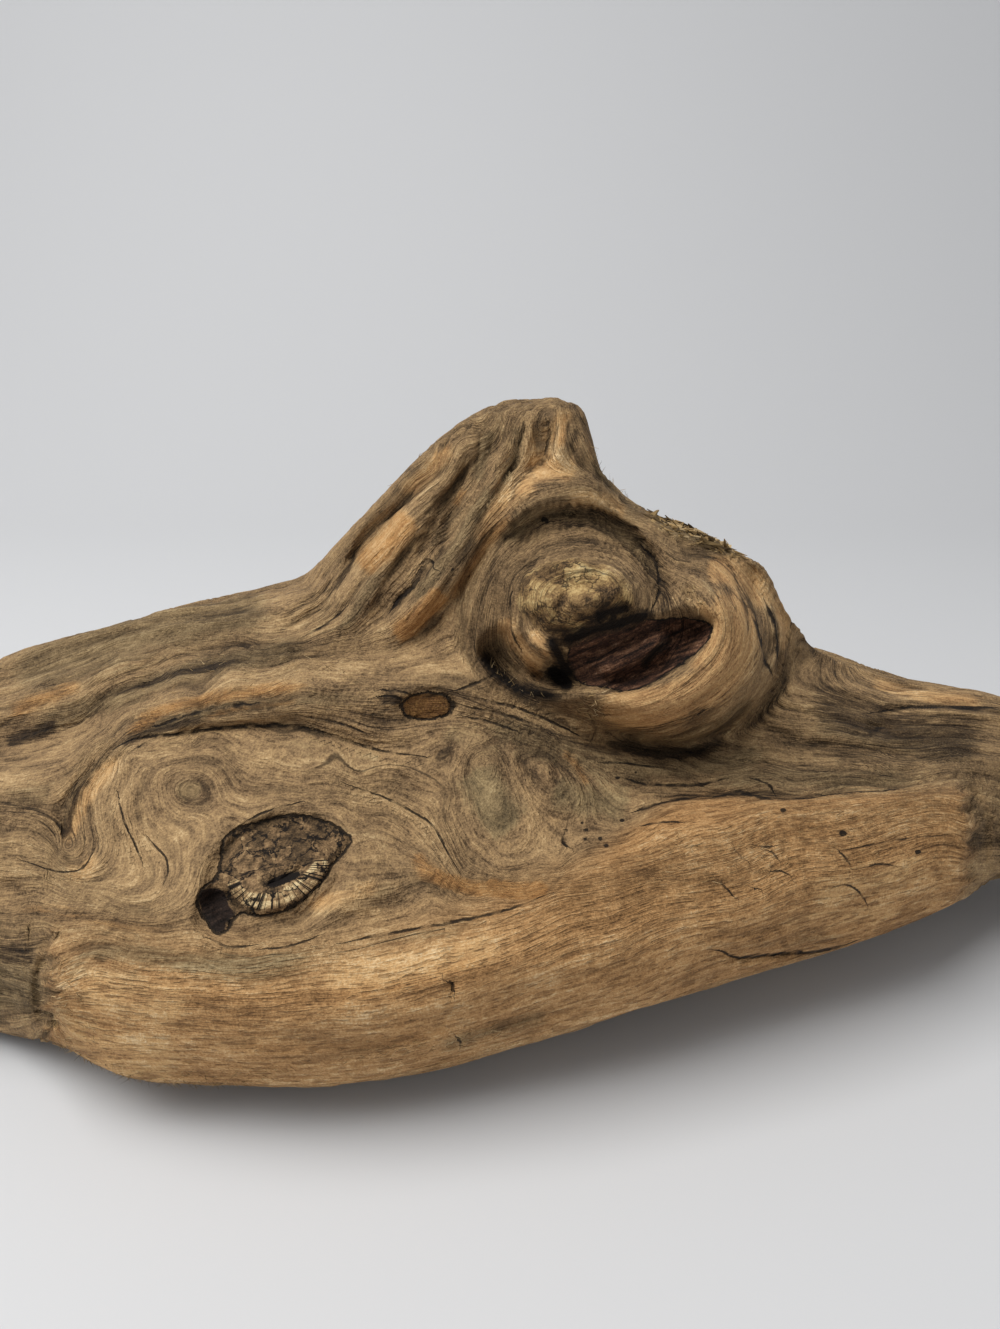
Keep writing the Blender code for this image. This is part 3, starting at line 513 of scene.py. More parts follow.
def slab_field(drawn):
    """1 over the front slab."""
    top = through([p[0] for p in SLAB_TOP], [p[1] for p in SLAB_TOP], drawn[:, 0])
    fall = 2.5 + 9.0 * smooth(drawn[:, 0], 50.0, -20.0)
    below = smooth(top - drawn[:, 1], -fall, fall)
    torn = 1.6 * np.sin(0.9 * drawn[:, 1]) + 1.0 * np.sin(2.3 * drawn[:, 1] + 1.0)
    round_end = SLAB_RIGHT - 0.012 * (drawn[:, 1] + 44.0) ** 2 + 0.5 * torn
    left_end = SLAB_LEFT + torn
    ends = smooth(drawn[:, 0], left_end, left_end + 3.0) * smooth(drawn[:, 0], round_end, round_end - 4.0)
    return below * ends


def end_fade(points):
    """1 along the wood, falling to 0 at both ends."""
    return smooth(LENGTH / 2.0 - np.abs(points[:, 0]), *END_FADE)


def work_front(grid, seen):
    """Moves the seen points along their sight lines, so that what is drawn keeps its place on the drawing."""
    points = grid.reshape(-1, 3)
    drawn = to_drawing(points)
    height = BURL_HEIGHT * burl_field(drawn) + SLAB_PROUD * slab_field(drawn)
    height -= MOUTH_DEPTH * outline_field(drawn, MOUTH_OUTLINE, MOUTH_FALL)
    for centre, half, turn, start, rise in MOUNDS.values():
        height += rise * mound_field(drawn, centre, half, turn, start)
    for path, half_width, rise in STROKES.values():
        height += rise * stroke_field(drawn, path, half_width)
    folds = [(half_width, FOLD_DEPTH, *path) for half_width, *path in FOLDS]
    for half_width, rise, *path in (*FINE_STROKES.values(), *folds):
        height += rise * stroke_field(drawn, on_drawing(path), half_width * PIXEL)
    sight = EYE - points
    sight /= np.linalg.norm(sight, axis=1)[:, None]
    height *= seen * end_fade(points)
    return (points + sight * height[:, None]).reshape(grid.shape)


def work_back(grid, far):
    """Folds, ridges and one grown-over knot on the far side, and a swell all over, along the grain."""
    points = grid.reshape(-1, 3)
    drawn = points[:, [0, 2]]
    height = np.zeros(len(points))
    for path, half_width, rise in FAR_STROKES.values():
        height += rise * stroke_field(drawn, path, half_width)
    centre, half, turn, rise = FAR_KNOT
    swollen = mound_field(drawn, centre, half, turn, 0.1)
    height += rise * (swollen - 0.8 * mound_field(drawn, centre, FAR_KNOT_HEART, turn, 0.5))
    height *= far
    travel = points[:, 0] / LENGTH * 2.0 * math.pi
    turn = np.tile(np.arange(grid.shape[1]) / grid.shape[1] * 2.0 * math.pi, grid.shape[0])
    for k, (along, around, rise) in enumerate(SWELLS):
        wave = np.sin(around * turn + 1.4 * np.sin(along * travel + 2.1 * k) + 1.7 * k)
        height += rise * wave * np.sin(along * travel + 0.9 * k) * (0.35 + 0.65 * far)
    height *= end_fade(points)
    return (points + outward(grid).reshape(-1, 3) * height[:, None]).reshape(grid.shape)


def close_ends(grid, rounds):
    """Rounds each end of the loft over, with a slanted and lobed end face."""
    turn = 2.0 * math.pi * rounds / RAILS
    start = LENGTH / 2.0 - END_ROUNDING
    for side, slant, lobe in ((-1.0, END_SLANT[0], END_LOBE[0]), (1.0, END_SLANT[1], END_LOBE[1])):
        share = np.clip((side * grid[:, 0, 0] - start) / END_ROUNDING, 0.0, 1.0)
        rows = share > 0.0
        scale = np.sqrt(1.0 - share[rows] ** END_POWER)[:, None, None]
        centre = grid[rows].mean(axis=1, keepdims=True)[:, :, 1:]
        back = slant * (1.0 - np.cos(turn + side)) / 2.0 + lobe * (1.0 - np.cos(3.0 * turn + 1.0)) / 2.0
        grid[rows, :, 1:] = centre + (grid[rows, :, 1:] - centre) * scale
        grid[rows, :, 0] -= side * share[rows, None] * scale[:, :, 0] * back[None]
    return grid


def lie_flat(grid):
    """Wears the underside flat where the wood rests, so that it lies still."""
    points = grid.reshape(-1, 3)
    offset = (points[:, :2] - FLAT_CENTRE) / FLAT_HALF
    worn = (np.linalg.norm(offset, axis=1) < 1.0) & (points[:, 2] < FLAT_REACH)
    points[worn, 2] = 0.0
    points[:, 2] = np.maximum(points[:, 2], 0.0)
    return points.reshape(grid.shape)


DENSE_STATIONS = 474
DENSE_ROUND = 640
FINE_ROUND = 208


def fine_stations(count):
    """Stations along the wood, closer where the photograph shows it and where the ends round over."""
    half = LENGTH / 2.0 - LAST_RING
    place = np.linspace(-half, half, 2001)
    weight = 0.62 + 0.38 * smooth(np.abs(place), 185.0, 160.0) + 3.0 * smooth(np.abs(place), half - 8.0, half)
    travel = np.concatenate(((0.0,), np.cumsum((weight[1:] + weight[:-1]) / 2.0)))
    return np.interp(np.linspace(0.0, travel[-1], count), travel, place)


def blurred(values, places, reach):
    """Values along the stations, averaged over this reach."""
    weight = np.exp(-(((places[:, None] - places[None]) / reach) ** 2))
    return weight @ values / weight.sum(axis=1)[(slice(None),) + (None,) * (values.ndim - 1)]


def even_rounds(grid, rounds, count):
    """Places round each section so that its points lie evenly, closer on the side that is seen."""
    closed = np.concatenate((grid, grid[:, :1]), axis=1)
    places = np.append(rounds, RAILS)
    step = np.linalg.norm(np.diff(closed, axis=1), axis=2)
    step = blurred(step, grid[:, 0, 0], 9.0)
    middle = (places[1:] + places[:-1]) / 2.0
    wanted = 0.42 + 0.58 * (1.0 - smooth(middle, SEEN - 0.4, SEEN + 0.8) + smooth(middle, RAILS - 1.2,
                                                                                  RAILS - 0.2))
    travel = np.concatenate((np.zeros((len(grid), 1)), np.cumsum(step * wanted, axis=1)), axis=1)
    even = np.linspace(0.0, 1.0, count, endpoint=False)
    chosen = np.array([np.interp(even * row[-1], row, places) for row in travel])
    fine = np.array([[np.interp(r, places, row[:, k]) for k in range(3)] for r, row in zip(chosen, closed)])
    return fine.transpose(0, 2, 1), chosen


stations = fine_stations(DENSE_STATIONS)
rounds = np.linspace(0.0, RAILS, DENSE_ROUND, endpoint=False)
seen = 1.0 - smooth(rounds, SEEN - 1.7, SEEN - 0.9) + smooth(rounds, RAILS - 1.0, RAILS - 0.1)
far = smooth(rounds, SEEN - 0.9, SEEN + 0.3) * smooth(rounds, RAILS - 2.0, RAILS - 3.5)
grid = loft(stations, rounds)
grid = work_front(grid, np.tile(seen, DENSE_STATIONS))
grid = work_back(grid, np.tile(far, DENSE_STATIONS))
grid = lie_flat(close_ends(grid, rounds))
grid, place_round = even_rounds(grid, rounds, FINE_ROUND)
points = grid.reshape(-1, 3)
around = place_round.ravel()


def wood_mesh(name):
    """The fine grid closed into one skin, with a pole at each end."""
    left, right = grid[0].mean(axis=0), grid[-1].mean(axis=0)
    left[0], right[0] = -LENGTH / 2.0, LENGTH / 2.0
    vertices = np.concatenate((points, (left, right))) * MM
    left_pole = DENSE_STATIONS * FINE_ROUND
    right_pole = left_pole + 1
    last = (DENSE_STATIONS - 1) * FINE_ROUND
    faces = []
    for j in range(FINE_ROUND):
        k = (j + 1) % FINE_ROUND
        faces.append((left_pole, j, k))
        faces.append((right_pole, last + k, last + j))
        for i in range(0, last, FINE_ROUND):
            faces.append((i + j, i + FINE_ROUND + j, i + FINE_ROUND + k, i + k))
    mesh = bpy.data.meshes.new(name)
    mesh.from_pydata(vertices.tolist(), [], faces)
    mesh.shade_smooth()
    wood = bpy.data.objects.new(name, mesh)
    bpy.context.scene.collection.objects.link(wood)
    return wood


# The grain
# Driftwood is furrowed along its grain, because the soft spring wood wears away first. The grain is a
# level at each point: lines of one level are the lines of the grain. On the front they are traced on
# the photograph, round the knots, swirls and burl. On the back they run on from the crest.

# Each row is a level, which rises from the bottom up, then points in pixels of the photograph.
GRAIN_LINES = (
    (0, (45, 1020), (105, 1074), (200, 1080), (330, 1081), (430, 1065), (555, 1030), (700, 985), (850, 945),
     (930, 920)),
    (8, (50, 1035), (130, 1046), (250, 1052), (380, 1046), (500, 1016), (620, 980), (760, 935), (900, 895),
     (975, 870)),
    (18, (45, 1000), (130, 1008), (250, 1014), (380, 1004), (500, 972), (620, 935), (760, 893), (900, 858),
     (980, 840)),
    (28, (45, 965), (130, 972), (220, 975), (330, 962), (430, 945), (540, 920), (650, 885), (780, 848),
     (900, 825), (980, 812)),
    (34, (50, 938), (105, 939), (200, 948), (274, 951), (344, 943), (420, 927), (500, 912), (560, 893)),
    (40, (0, 925), (60, 925), (130, 930), (185, 930), (215, 935), (250, 940), (300, 930), (335, 905),
     (400, 893), (440, 887), (500, 895)),
    (48, (0, 900), (60, 905), (130, 915), (180, 905), (200, 870), (230, 835), (260, 815), (300, 806),
     (340, 806), (385, 815), (410, 835)),
    (53, (0, 875), (60, 885), (120, 900), (150, 900), (168, 880), (165, 850), (145, 825), (140, 790),
     (155, 765), (190, 757), (230, 770), (260, 785), (300, 790), (350, 792), (400, 800), (430, 823),
     (445, 850), (462, 878), (500, 884), (600, 862), (700, 830)),
    (58, (0, 855), (50, 865), (100, 878), (120, 870), (118, 830), (115, 800), (125, 770), (150, 752),
     (190, 745), (240, 750), (300, 762), (360, 775), (420, 785), (445, 800), (455, 840), (475, 868),
     (520, 875), (570, 862), (640, 845), (720, 820)),
    (60, (118, 760), (125, 750), (150, 738), (200, 728), (250, 726), (300, 728), (340, 737), (383, 753),
     (424, 756), (445, 775), (450, 810), (468, 852), (505, 873), (560, 868), (640, 848), (720, 822),
     (800, 800), (900, 792), (1000, 786)),
    (64, (0, 838), (40, 845), (60, 862), (85, 865), (95, 830), (95, 790), (115, 760), (150, 740)),
    (66, (0, 820), (30, 826), (50, 840), (58, 850)),
    (72, (60, 850), (62, 820), (75, 790), (100, 755), (140, 722), (200, 705), (260, 697), (330, 690),
     (400, 688), (450, 690), (480, 700), (520, 720), (560, 738), (600, 745), (680, 757), (760, 765),
     (850, 770), (1000, 775)),
    (78, (0, 790), (40, 785), (80, 765), (110, 735), (150, 712), (200, 703)),
    (86, (0, 745), (50, 738), (100, 715), (140, 690), (180, 672), (230, 660), (300, 655), (350, 650),
     (400, 640), (430, 615), (455, 580), (480, 545), (505, 515), (530, 495), (560, 485), (600, 490),
     (640, 515), (690, 540)),
    (90, (300, 652), (350, 645), (400, 625), (435, 585), (465, 545), (490, 510), (515, 480), (540, 450),
     (555, 405)),
    (96, (80, 700), (150, 668), (220, 650), (300, 648), (350, 635), (385, 605), (420, 565), (450, 530),
     (480, 490), (505, 455), (525, 410)),
    (104, (0, 700), (60, 680), (120, 655), (200, 640), (260, 640), (310, 630), (345, 600), (370, 570),
     (400, 535), (430, 505), (455, 480), (480, 450), (505, 415)),
    (116, (0, 675), (60, 655), (130, 632), (200, 620), (260, 612), (300, 600), (330, 572), (355, 545),
     (385, 512), (415, 480), (440, 450), (465, 425)),
    (124, (5, 661), (105, 627), (205, 604), (305, 586), (330, 551), (380, 503), (430, 452), (480, 417)),
    (112, (575, 405), (590, 440)),
    (106, (605, 480), (625, 500)),
    (98, (640, 512), (690, 532)),
    (95, (740, 550), (775, 590), (790, 625)),
    (110, (800, 640), (815, 650)),
    (124, (860, 668), (930, 684), (1000, 695)),
    (110, (785, 680), (820, 695), (860, 708), (920, 718), (1000, 724)),
    (97, (760, 718), (800, 728), (870, 738), (1000, 745)),
    (84, (740, 745), (800, 750), (870, 755), (1000, 760)),
    (44, (190, 791)),
    (46, (175, 791), (190, 778), (208, 791), (190, 803)),
    (50, (160, 795), (190, 768), (225, 795), (195, 820)),
    (70, (485, 765)),
    (67, (475, 765), (485, 755), (495, 765), (485, 775)),
    (66, (500, 805)),
    (64, (512, 840)),
    (61, (460, 760), (460, 800), (480, 850), (510, 866), (545, 855), (570, 820), (575, 780), (550, 752),
     (510, 742), (480, 742)),
    (46, (205, 870), (230, 830), (280, 812), (330, 818), (350, 835)),
)
# The rings of the burl, which bend round its eye knot on their own
BURL_LINES = (
    (30, (580, 600)),
    (44, (518, 610), (525, 575), (565, 556), (615, 558), (643, 585), (640, 615), (600, 645), (550, 660),
     (522, 640)),
    (60, (485, 640), (492, 595), (520, 555), (565, 533), (615, 540), (655, 570), (690, 600), (705, 630),
     (685, 665), (640, 693), (590, 702), (540, 698), (503, 672)),
    (72, (465, 650), (472, 600), (500, 545), (545, 512), (600, 512), (650, 535), (710, 560), (745, 600),
     (752, 640), (725, 685), (680, 715), (620, 725), (570, 715), (520, 705)),
    (86, (455, 580), (480, 545), (505, 515), (530, 495), (560, 485), (600, 490), (640, 512), (690, 532),
     (740, 548), (778, 590), (795, 640), (780, 690), (740, 735), (680, 755), (620, 752), (450, 625),
     (452, 665)),
)
BURL_EDGE = (
    (462, 655), (450, 620), (466, 575), (492, 535), (522, 506), (558, 492), (600, 498), (645, 518),
    (700, 532), (754, 552), (787, 600), (792, 640), (786, 680), (762, 710), (735, 737), (690, 750),
    (640, 747), (600, 730), (560, 715), (520, 702), (488, 685),
)
# The same beyond the photograph's frame, in millimetres on the drawing: (level, across, up)
GRAIN_BEYOND = (
    (0, -170, -80), (18, -170, -62), (34, -170, -45), (46, -170, -38), (60, -170, -30), (76, -170, -22),
    (92, -170, -15), (112, -170, -8), (124, -170, -5), (20, 158, -46), (36, 158, -40), (50, 158, -34),
    (64, 158, -28), (90, 158, -22), (108, 158, -17), (124, 158, -14),
)


def plate(rows, beyond=(), give=2.0):
    """A smooth sheet through traced levels, like a thin bent plate, as a function of drawn points."""
    beyond = np.array(beyond, float).reshape(-1, 3)
    knots = np.concatenate([on_drawing(row[1:]) for row in rows] + [beyond[:, 1:]])
    levels = np.concatenate([[row[0]] * (len(row) - 1) for row in rows] + [beyond[:, 0]])

    def bend(drawn):
        square = ((drawn[:, None, :] - knots[None]) ** 2).sum(axis=2)
        return 0.5 * square * np.log(square + 1e-9)

    count = len(knots)
    plane = np.column_stack((np.ones(count), knots))
    system = np.block([[bend(knots) + give * np.eye(count), plane], [plane.T, np.zeros((3, 3))]])
    weights = np.linalg.solve(system, np.concatenate((levels, np.zeros(3))))

    def level(drawn):
        parts = []
        for some in np.array_split(drawn, 1 + len(drawn) // 4000):
            flat = np.column_stack((np.ones(len(some)), some))
            parts.append(bend(some) @ weights[:count] + flat @ weights[count:])
        return np.concatenate(parts)

    return level


ROUND_STEP = 34.0
UNDER_STEP = 26.0
SEAM_ROUND = 14.0
CREST = SEEN - 1.0
main_plate = plate(GRAIN_LINES, GRAIN_BEYOND)
burl_plate = plate(BURL_LINES)


def seen_level(drawn):
    burl = outline_field(drawn, on_drawing(BURL_EDGE), 3.0)
    level = main_plate(drawn)
    inside = burl > 0.0
    level[inside] += (burl_plate(drawn[inside]) - level[inside]) * burl[inside]
    return level


drawn = to_drawing(points)
place_x = points[:, 0]
front = (around <= CREST) & (around >= 0.0)
level = np.zeros(len(points))
level[front] = seen_level(drawn[front])
edges = loft(stations, np.array((0.0, CREST)))
low_level = seen_level(to_drawing(edges[:, 0]))
crest_level = seen_level(to_drawing(edges[:, 1]))
back_level = blurred(crest_level, stations, 28.0)
near_crest = np.interp(place_x, stations, crest_level)
past_crest = np.interp(place_x, stations, back_level)
turned = near_crest + (past_crest - near_crest) * smooth(around, CREST,
                                                         CREST + 1.6) + ROUND_STEP * (around - CREST)
back = (around > CREST) & (around < SEAM_ROUND)
level[back] = turned[back]
under = around >= SEAM_ROUND
level[under] = (np.interp(place_x, stations, low_level) - UNDER_STEP * (RAILS - around))[under]

# On the slab the lines run straighter than traced, as the worn plank hardly waves
rows = level.reshape(len(stations), -1)
straighter = blurred(rows, stations, 16.0).ravel()
level += 0.7 * slab_field(drawn) * front * (straighter - level)


# Marks and colours painted on the drawing, as soft strokes and outlines
def paint(strokes):
    """The strongest of these strokes at each seen point. A row is strength, half width, then path."""
    field = np.zeros(len(points))
    for strength, half_width, *path in strokes:
        field = np.maximum(field, strength * stroke_field(drawn, on_drawing(path), half_width * PIXEL))
    return field * facing


facing = np.interp(around, (0.0, CREST - 0.3, CREST + 0.5, RAILS - 0.8, RAILS), (1.0, 1.0, 0.0, 0.0, 1.0))

PAINTS = {
    "orange": (
        (0.7, 9, (112, 745), (135, 728), (160, 712), (200, 701), (245, 693), (290, 688), (335, 686)),
        (0.6, 5, (190, 722), (230, 710), (270, 704), (310, 700)),
        (0.8, 18, (355, 574), (378, 554), (400, 532), (418, 512)),
        (1.0, 13, (388, 642), (412, 624), (432, 604), (446, 586)),
        (0.6, 6, (560, 452), (564, 430), (564, 408)),
        (0.5, 8, (592, 470), (590, 440), (586, 420)),
        (0.7, 7, (440, 612), (462, 584), (480, 556), (500, 528), (520, 505)),
        (0.6, 7, (452, 512), (460, 498), (468, 486)),
        (0.5, 8, (424, 478), (440, 455), (456, 438)),
        (1.0, 8, (425, 868), (450, 882), (490, 890), (552, 888)),
        (1.6, 8, (478, 885), (515, 891), (554, 889)),
        (0.7, 12, (408, 850), (430, 872), (452, 884)),
        (0.6, 12, (0, 722), (30, 705), (60, 692), (90, 680)),
        (0.45, 10, (0, 905), (60, 912), (120, 925), (180, 930)),
        (0.5, 14, (290, 1000), (380, 990), (450, 972), (520, 945)),
        (0.45, 12, (200, 1040), (300, 1050), (400, 1040), (500, 1015)),
        (0.35, 12, (560, 935), (640, 912), (720, 890)),
        (0.6, 7, (556, 748), (572, 760), (584, 776), (590, 790)),
        (0.7, 8, (520, 650), (532, 668), (545, 680)),
        (0.4, 14, (730, 600), (755, 620), (745, 655)),
    ),
    "golden": (
        (1.2, 19, (700, 585), (724, 604), (738, 630), (734, 656), (714, 680), (684, 697), (648, 707),
         (612, 706), (582, 702)),
        (1.0, 14, (700, 572), (730, 570), (756, 585), (772, 612)),
        (0.8, 8, (776, 590), (784, 625), (780, 655)),
        (0.9, 9, (506, 612), (508, 632), (520, 650), (536, 664)),
        (0.7, 9, (400, 500), (430, 470), (456, 446)),
        (0.7, 14, (362, 560), (390, 536), (414, 508)),
        (0.6, 12, (560, 500), (600, 502), (630, 520)),
        (0.8, 6, (690, 596), (706, 612), (716, 634), (704, 656), (680, 676)),
        (0.8, 13, (528, 470), (552, 466), (580, 474)),
        (0.6, 10, (545, 450), (560, 420), (575, 408)),
        (0.6, 12, (470, 550), (490, 520), (515, 492), (545, 478)),
        (0.7, 10, (62, 852), (74, 820), (86, 795), (104, 772), (128, 752)),
        (0.5, 10, (60, 870), (84, 872), (95, 850)),
        (0.7, 22, (70, 985), (130, 1000), (200, 1005)),
        (0.8, 24, (60, 1020), (110, 1055), (190, 1060)),
        (0.6, 20, (300, 985), (420, 965), (520, 940)),
        (0.55, 22, (800, 905), (870, 880), (940, 850)),
        (0.5, 14, (760, 925), (840, 918), (910, 900)),
        (0.5, 12, (300, 905), (340, 900), (390, 880)),
        (0.9, 10, (505, 628), (516, 645), (530, 662), (542, 674)),
        (0.8, 7, (528, 628), (542, 645), (552, 658)),
        (0.6, 8, (860, 680), (920, 695), (1000, 703)),
    ),
    "grey": (
        (0.9, 14, (0, 740), (60, 718), (130, 692), (200, 667), (280, 652), (330, 640)),
        (0.9, 30, (-20, 690), (60, 662), (140, 634), (220, 612), (300, 596)),
        (0.7, 16, (560, 748), (640, 765), (720, 765), (780, 745)),
        (0.7, 9, (125, 745), (95, 768), (76, 790), (66, 820), (58, 848)),
        (0.7, 10, (110, 748), (150, 726), (200, 712), (260, 704), (330, 698), (400, 694)),
        (0.8, 9, (330, 640), (352, 618), (368, 590), (386, 560), (412, 530)),
        (0.9, 8, (400, 612), (425, 585), (446, 558), (466, 530), (484, 500), (496, 470)),
        (0.6, 8, (420, 560), (440, 535), (455, 512), (470, 485)),
        (0.9, 8, (476, 488), (484, 455), (494, 425)),
        (0.9, 7, (500, 490), (514, 455), (524, 418)),
        (0.6, 9, (590, 430), (600, 470), (620, 498), (650, 520)),
        (0.8, 11, (494, 568), (510, 538), (535, 518), (570, 514), (605, 522), (634, 542), (654, 572),
         (660, 606)),
        (0.8, 10, (640, 515), (680, 528), (715, 545), (745, 560)),
        (0.8, 22, (470, 720), (530, 740), (600, 765), (680, 775)),
        # Painted shade on the trunk right of the burl
        (0.6, 24, (790, 715), (860, 735), (930, 745), (1000, 752)),
        (0.7, 16, (690, 775), (760, 778), (850, 780), (950, 780)),
        (0.8, 10, (602, 732), (650, 738), (700, 732), (738, 712), (756, 686)),
        (0.8, 13, (55, 948), (120, 952), (190, 962), (260, 965), (330, 955)),
        (0.5, 10, (360, 945), (420, 938), (480, 925)),
        (0.9, 34, (-90, 985), (-20, 985), (60, 992)),
        # Painted shade on the trunk behind the slab's right end
        (0.4, 9, (978, 800), (992, 830), (990, 870)),
        (0.6, 12, (420, 1052), (500, 1030), (560, 1015)),
        (0.5, 8, (700, 950), (780, 945), (860, 935)),
        # Painted shade along the back ridge's lower side
        (0.5, 18, (150, 640), (220, 622), (290, 612)),
        (0.5, 14, (0, 800), (30, 795), (58, 790)),
    ),
    # Painted shade: in the folds, crevices and hollows, under the lip and the ledges, and on the trunk right
    # of the burl
    "dark": (
        (1.3, 6, (592, 618), (612, 614), (636, 603)),
        (1.4, 9, (548, 664), (560, 678), (574, 690)),
        (0.8, 6, (566, 650), (584, 636), (612, 626), (645, 617), (660, 608)),
        (0.7, 5, (540, 626), (560, 632), (580, 630)),
        (0.4, 5, (48, 940), (40, 965), (37, 995), (43, 1025)),
        (0.7, 30, (790, 690), (860, 716), (930, 736), (1010, 740)),
        (0.45, 30, (820, 752), (880, 762), (930, 764)),
        (0.4, 14, (700, 765), (780, 768), (860, 772)),
        (1.0, 7, (0, 743), (30, 735), (62, 722)),
        (0.8, 5, (100, 702), (150, 682), (200, 668), (260, 655)),
        (0.8, 6, (116, 750), (142, 735), (180, 724), (215, 716)),
        (0.7, 5, (100, 768), (80, 790), (68, 822), (60, 848)),
        (0.7, 4, (318, 600), (335, 588), (350, 566), (360, 548)),
        (0.5, 5, (330, 606), (345, 604), (360, 596)),
        (1.0, 6, (378, 700), (392, 698), (404, 701)),
        (0.8, 5, (494, 674), (520, 696), (550, 716), (590, 737)),
        (1.0, 7, (590, 738), (640, 750), (690, 752), (736, 738)),
        (0.6, 6, (500, 722), (550, 735), (600, 750), (640, 756)),
        (1.3, 7, (480, 648), (490, 664), (512, 684), (540, 694), (572, 698)),
        (1.3, 7, (545, 634), (556, 650), (564, 666), (574, 684)),
        (1.4, 7, (556, 648), (574, 638), (600, 628), (636, 619), (664, 611)),
        (1.2, 4, (640, 672), (656, 652), (676, 636)),
        (0.5, 4, (505, 560), (520, 538), (550, 522), (600, 530), (632, 552), (648, 585)),
        (0.6, 3, (543, 442), (549, 432), (546, 418)),
        (0.6, 5, (566, 452), (574, 440), (577, 425)),
        (0.7, 5, (765, 605), (776, 630), (774, 660)),
        (0.6, 6, (786, 660), (782, 690), (762, 716), (738, 736)),
        (1.0, 6, (864, 733), (878, 729), (892, 728)),
        (0.6, 5, (880, 712), (930, 706), (1000, 708)),
        (0.45, 5, (720, 952), (745, 957), (800, 954), (856, 942)),
        (0.6, 20, (-60, 955), (0, 955), (44, 952)),
        (0.6, 5, (650, 800), (740, 792), (830, 793)),
        (0.7, 5, (640, 516), (690, 530), (740, 550)),
        (0.6, 9, (660, 622), (665, 595), (655, 570)),
    ),
    "pale": (
        (0.7, 10, (300, 918), (335, 905), (370, 895), (405, 885)),
        (0.9, 13, (174, 796), (188, 789), (204, 793)),
        (0.5, 12, (330, 830), (370, 835), (395, 850)),
        (0.4, 16, (260, 760), (320, 765), (380, 780)),
        (0.5, 8, (62, 842), (72, 815), (85, 790)),
        (0.6, 14, (60, 965), (100, 975), (160, 985)),
        (0.5, 12, (50, 990), (70, 1030), (110, 1062)),
        (0.6, 6, (700, 575), (712, 592), (718, 605)),
        (0.5, 8, (640, 708), (600, 707), (580, 702)),
    ),
    "green": (
        (0.9, 30, (470, 760), (490, 800), (520, 835)),
        (0.8, 26, (540, 790), (590, 800), (640, 810)),
        (0.5, 24, (430, 730), (480, 740), (540, 750)),
        (0.4, 26, (250, 735), (330, 750), (400, 770)),
        (0.5, 20, (150, 960), (250, 968), (330, 960)),
        (0.4, 26, (700, 800), (800, 795), (880, 790)),
    ),
}

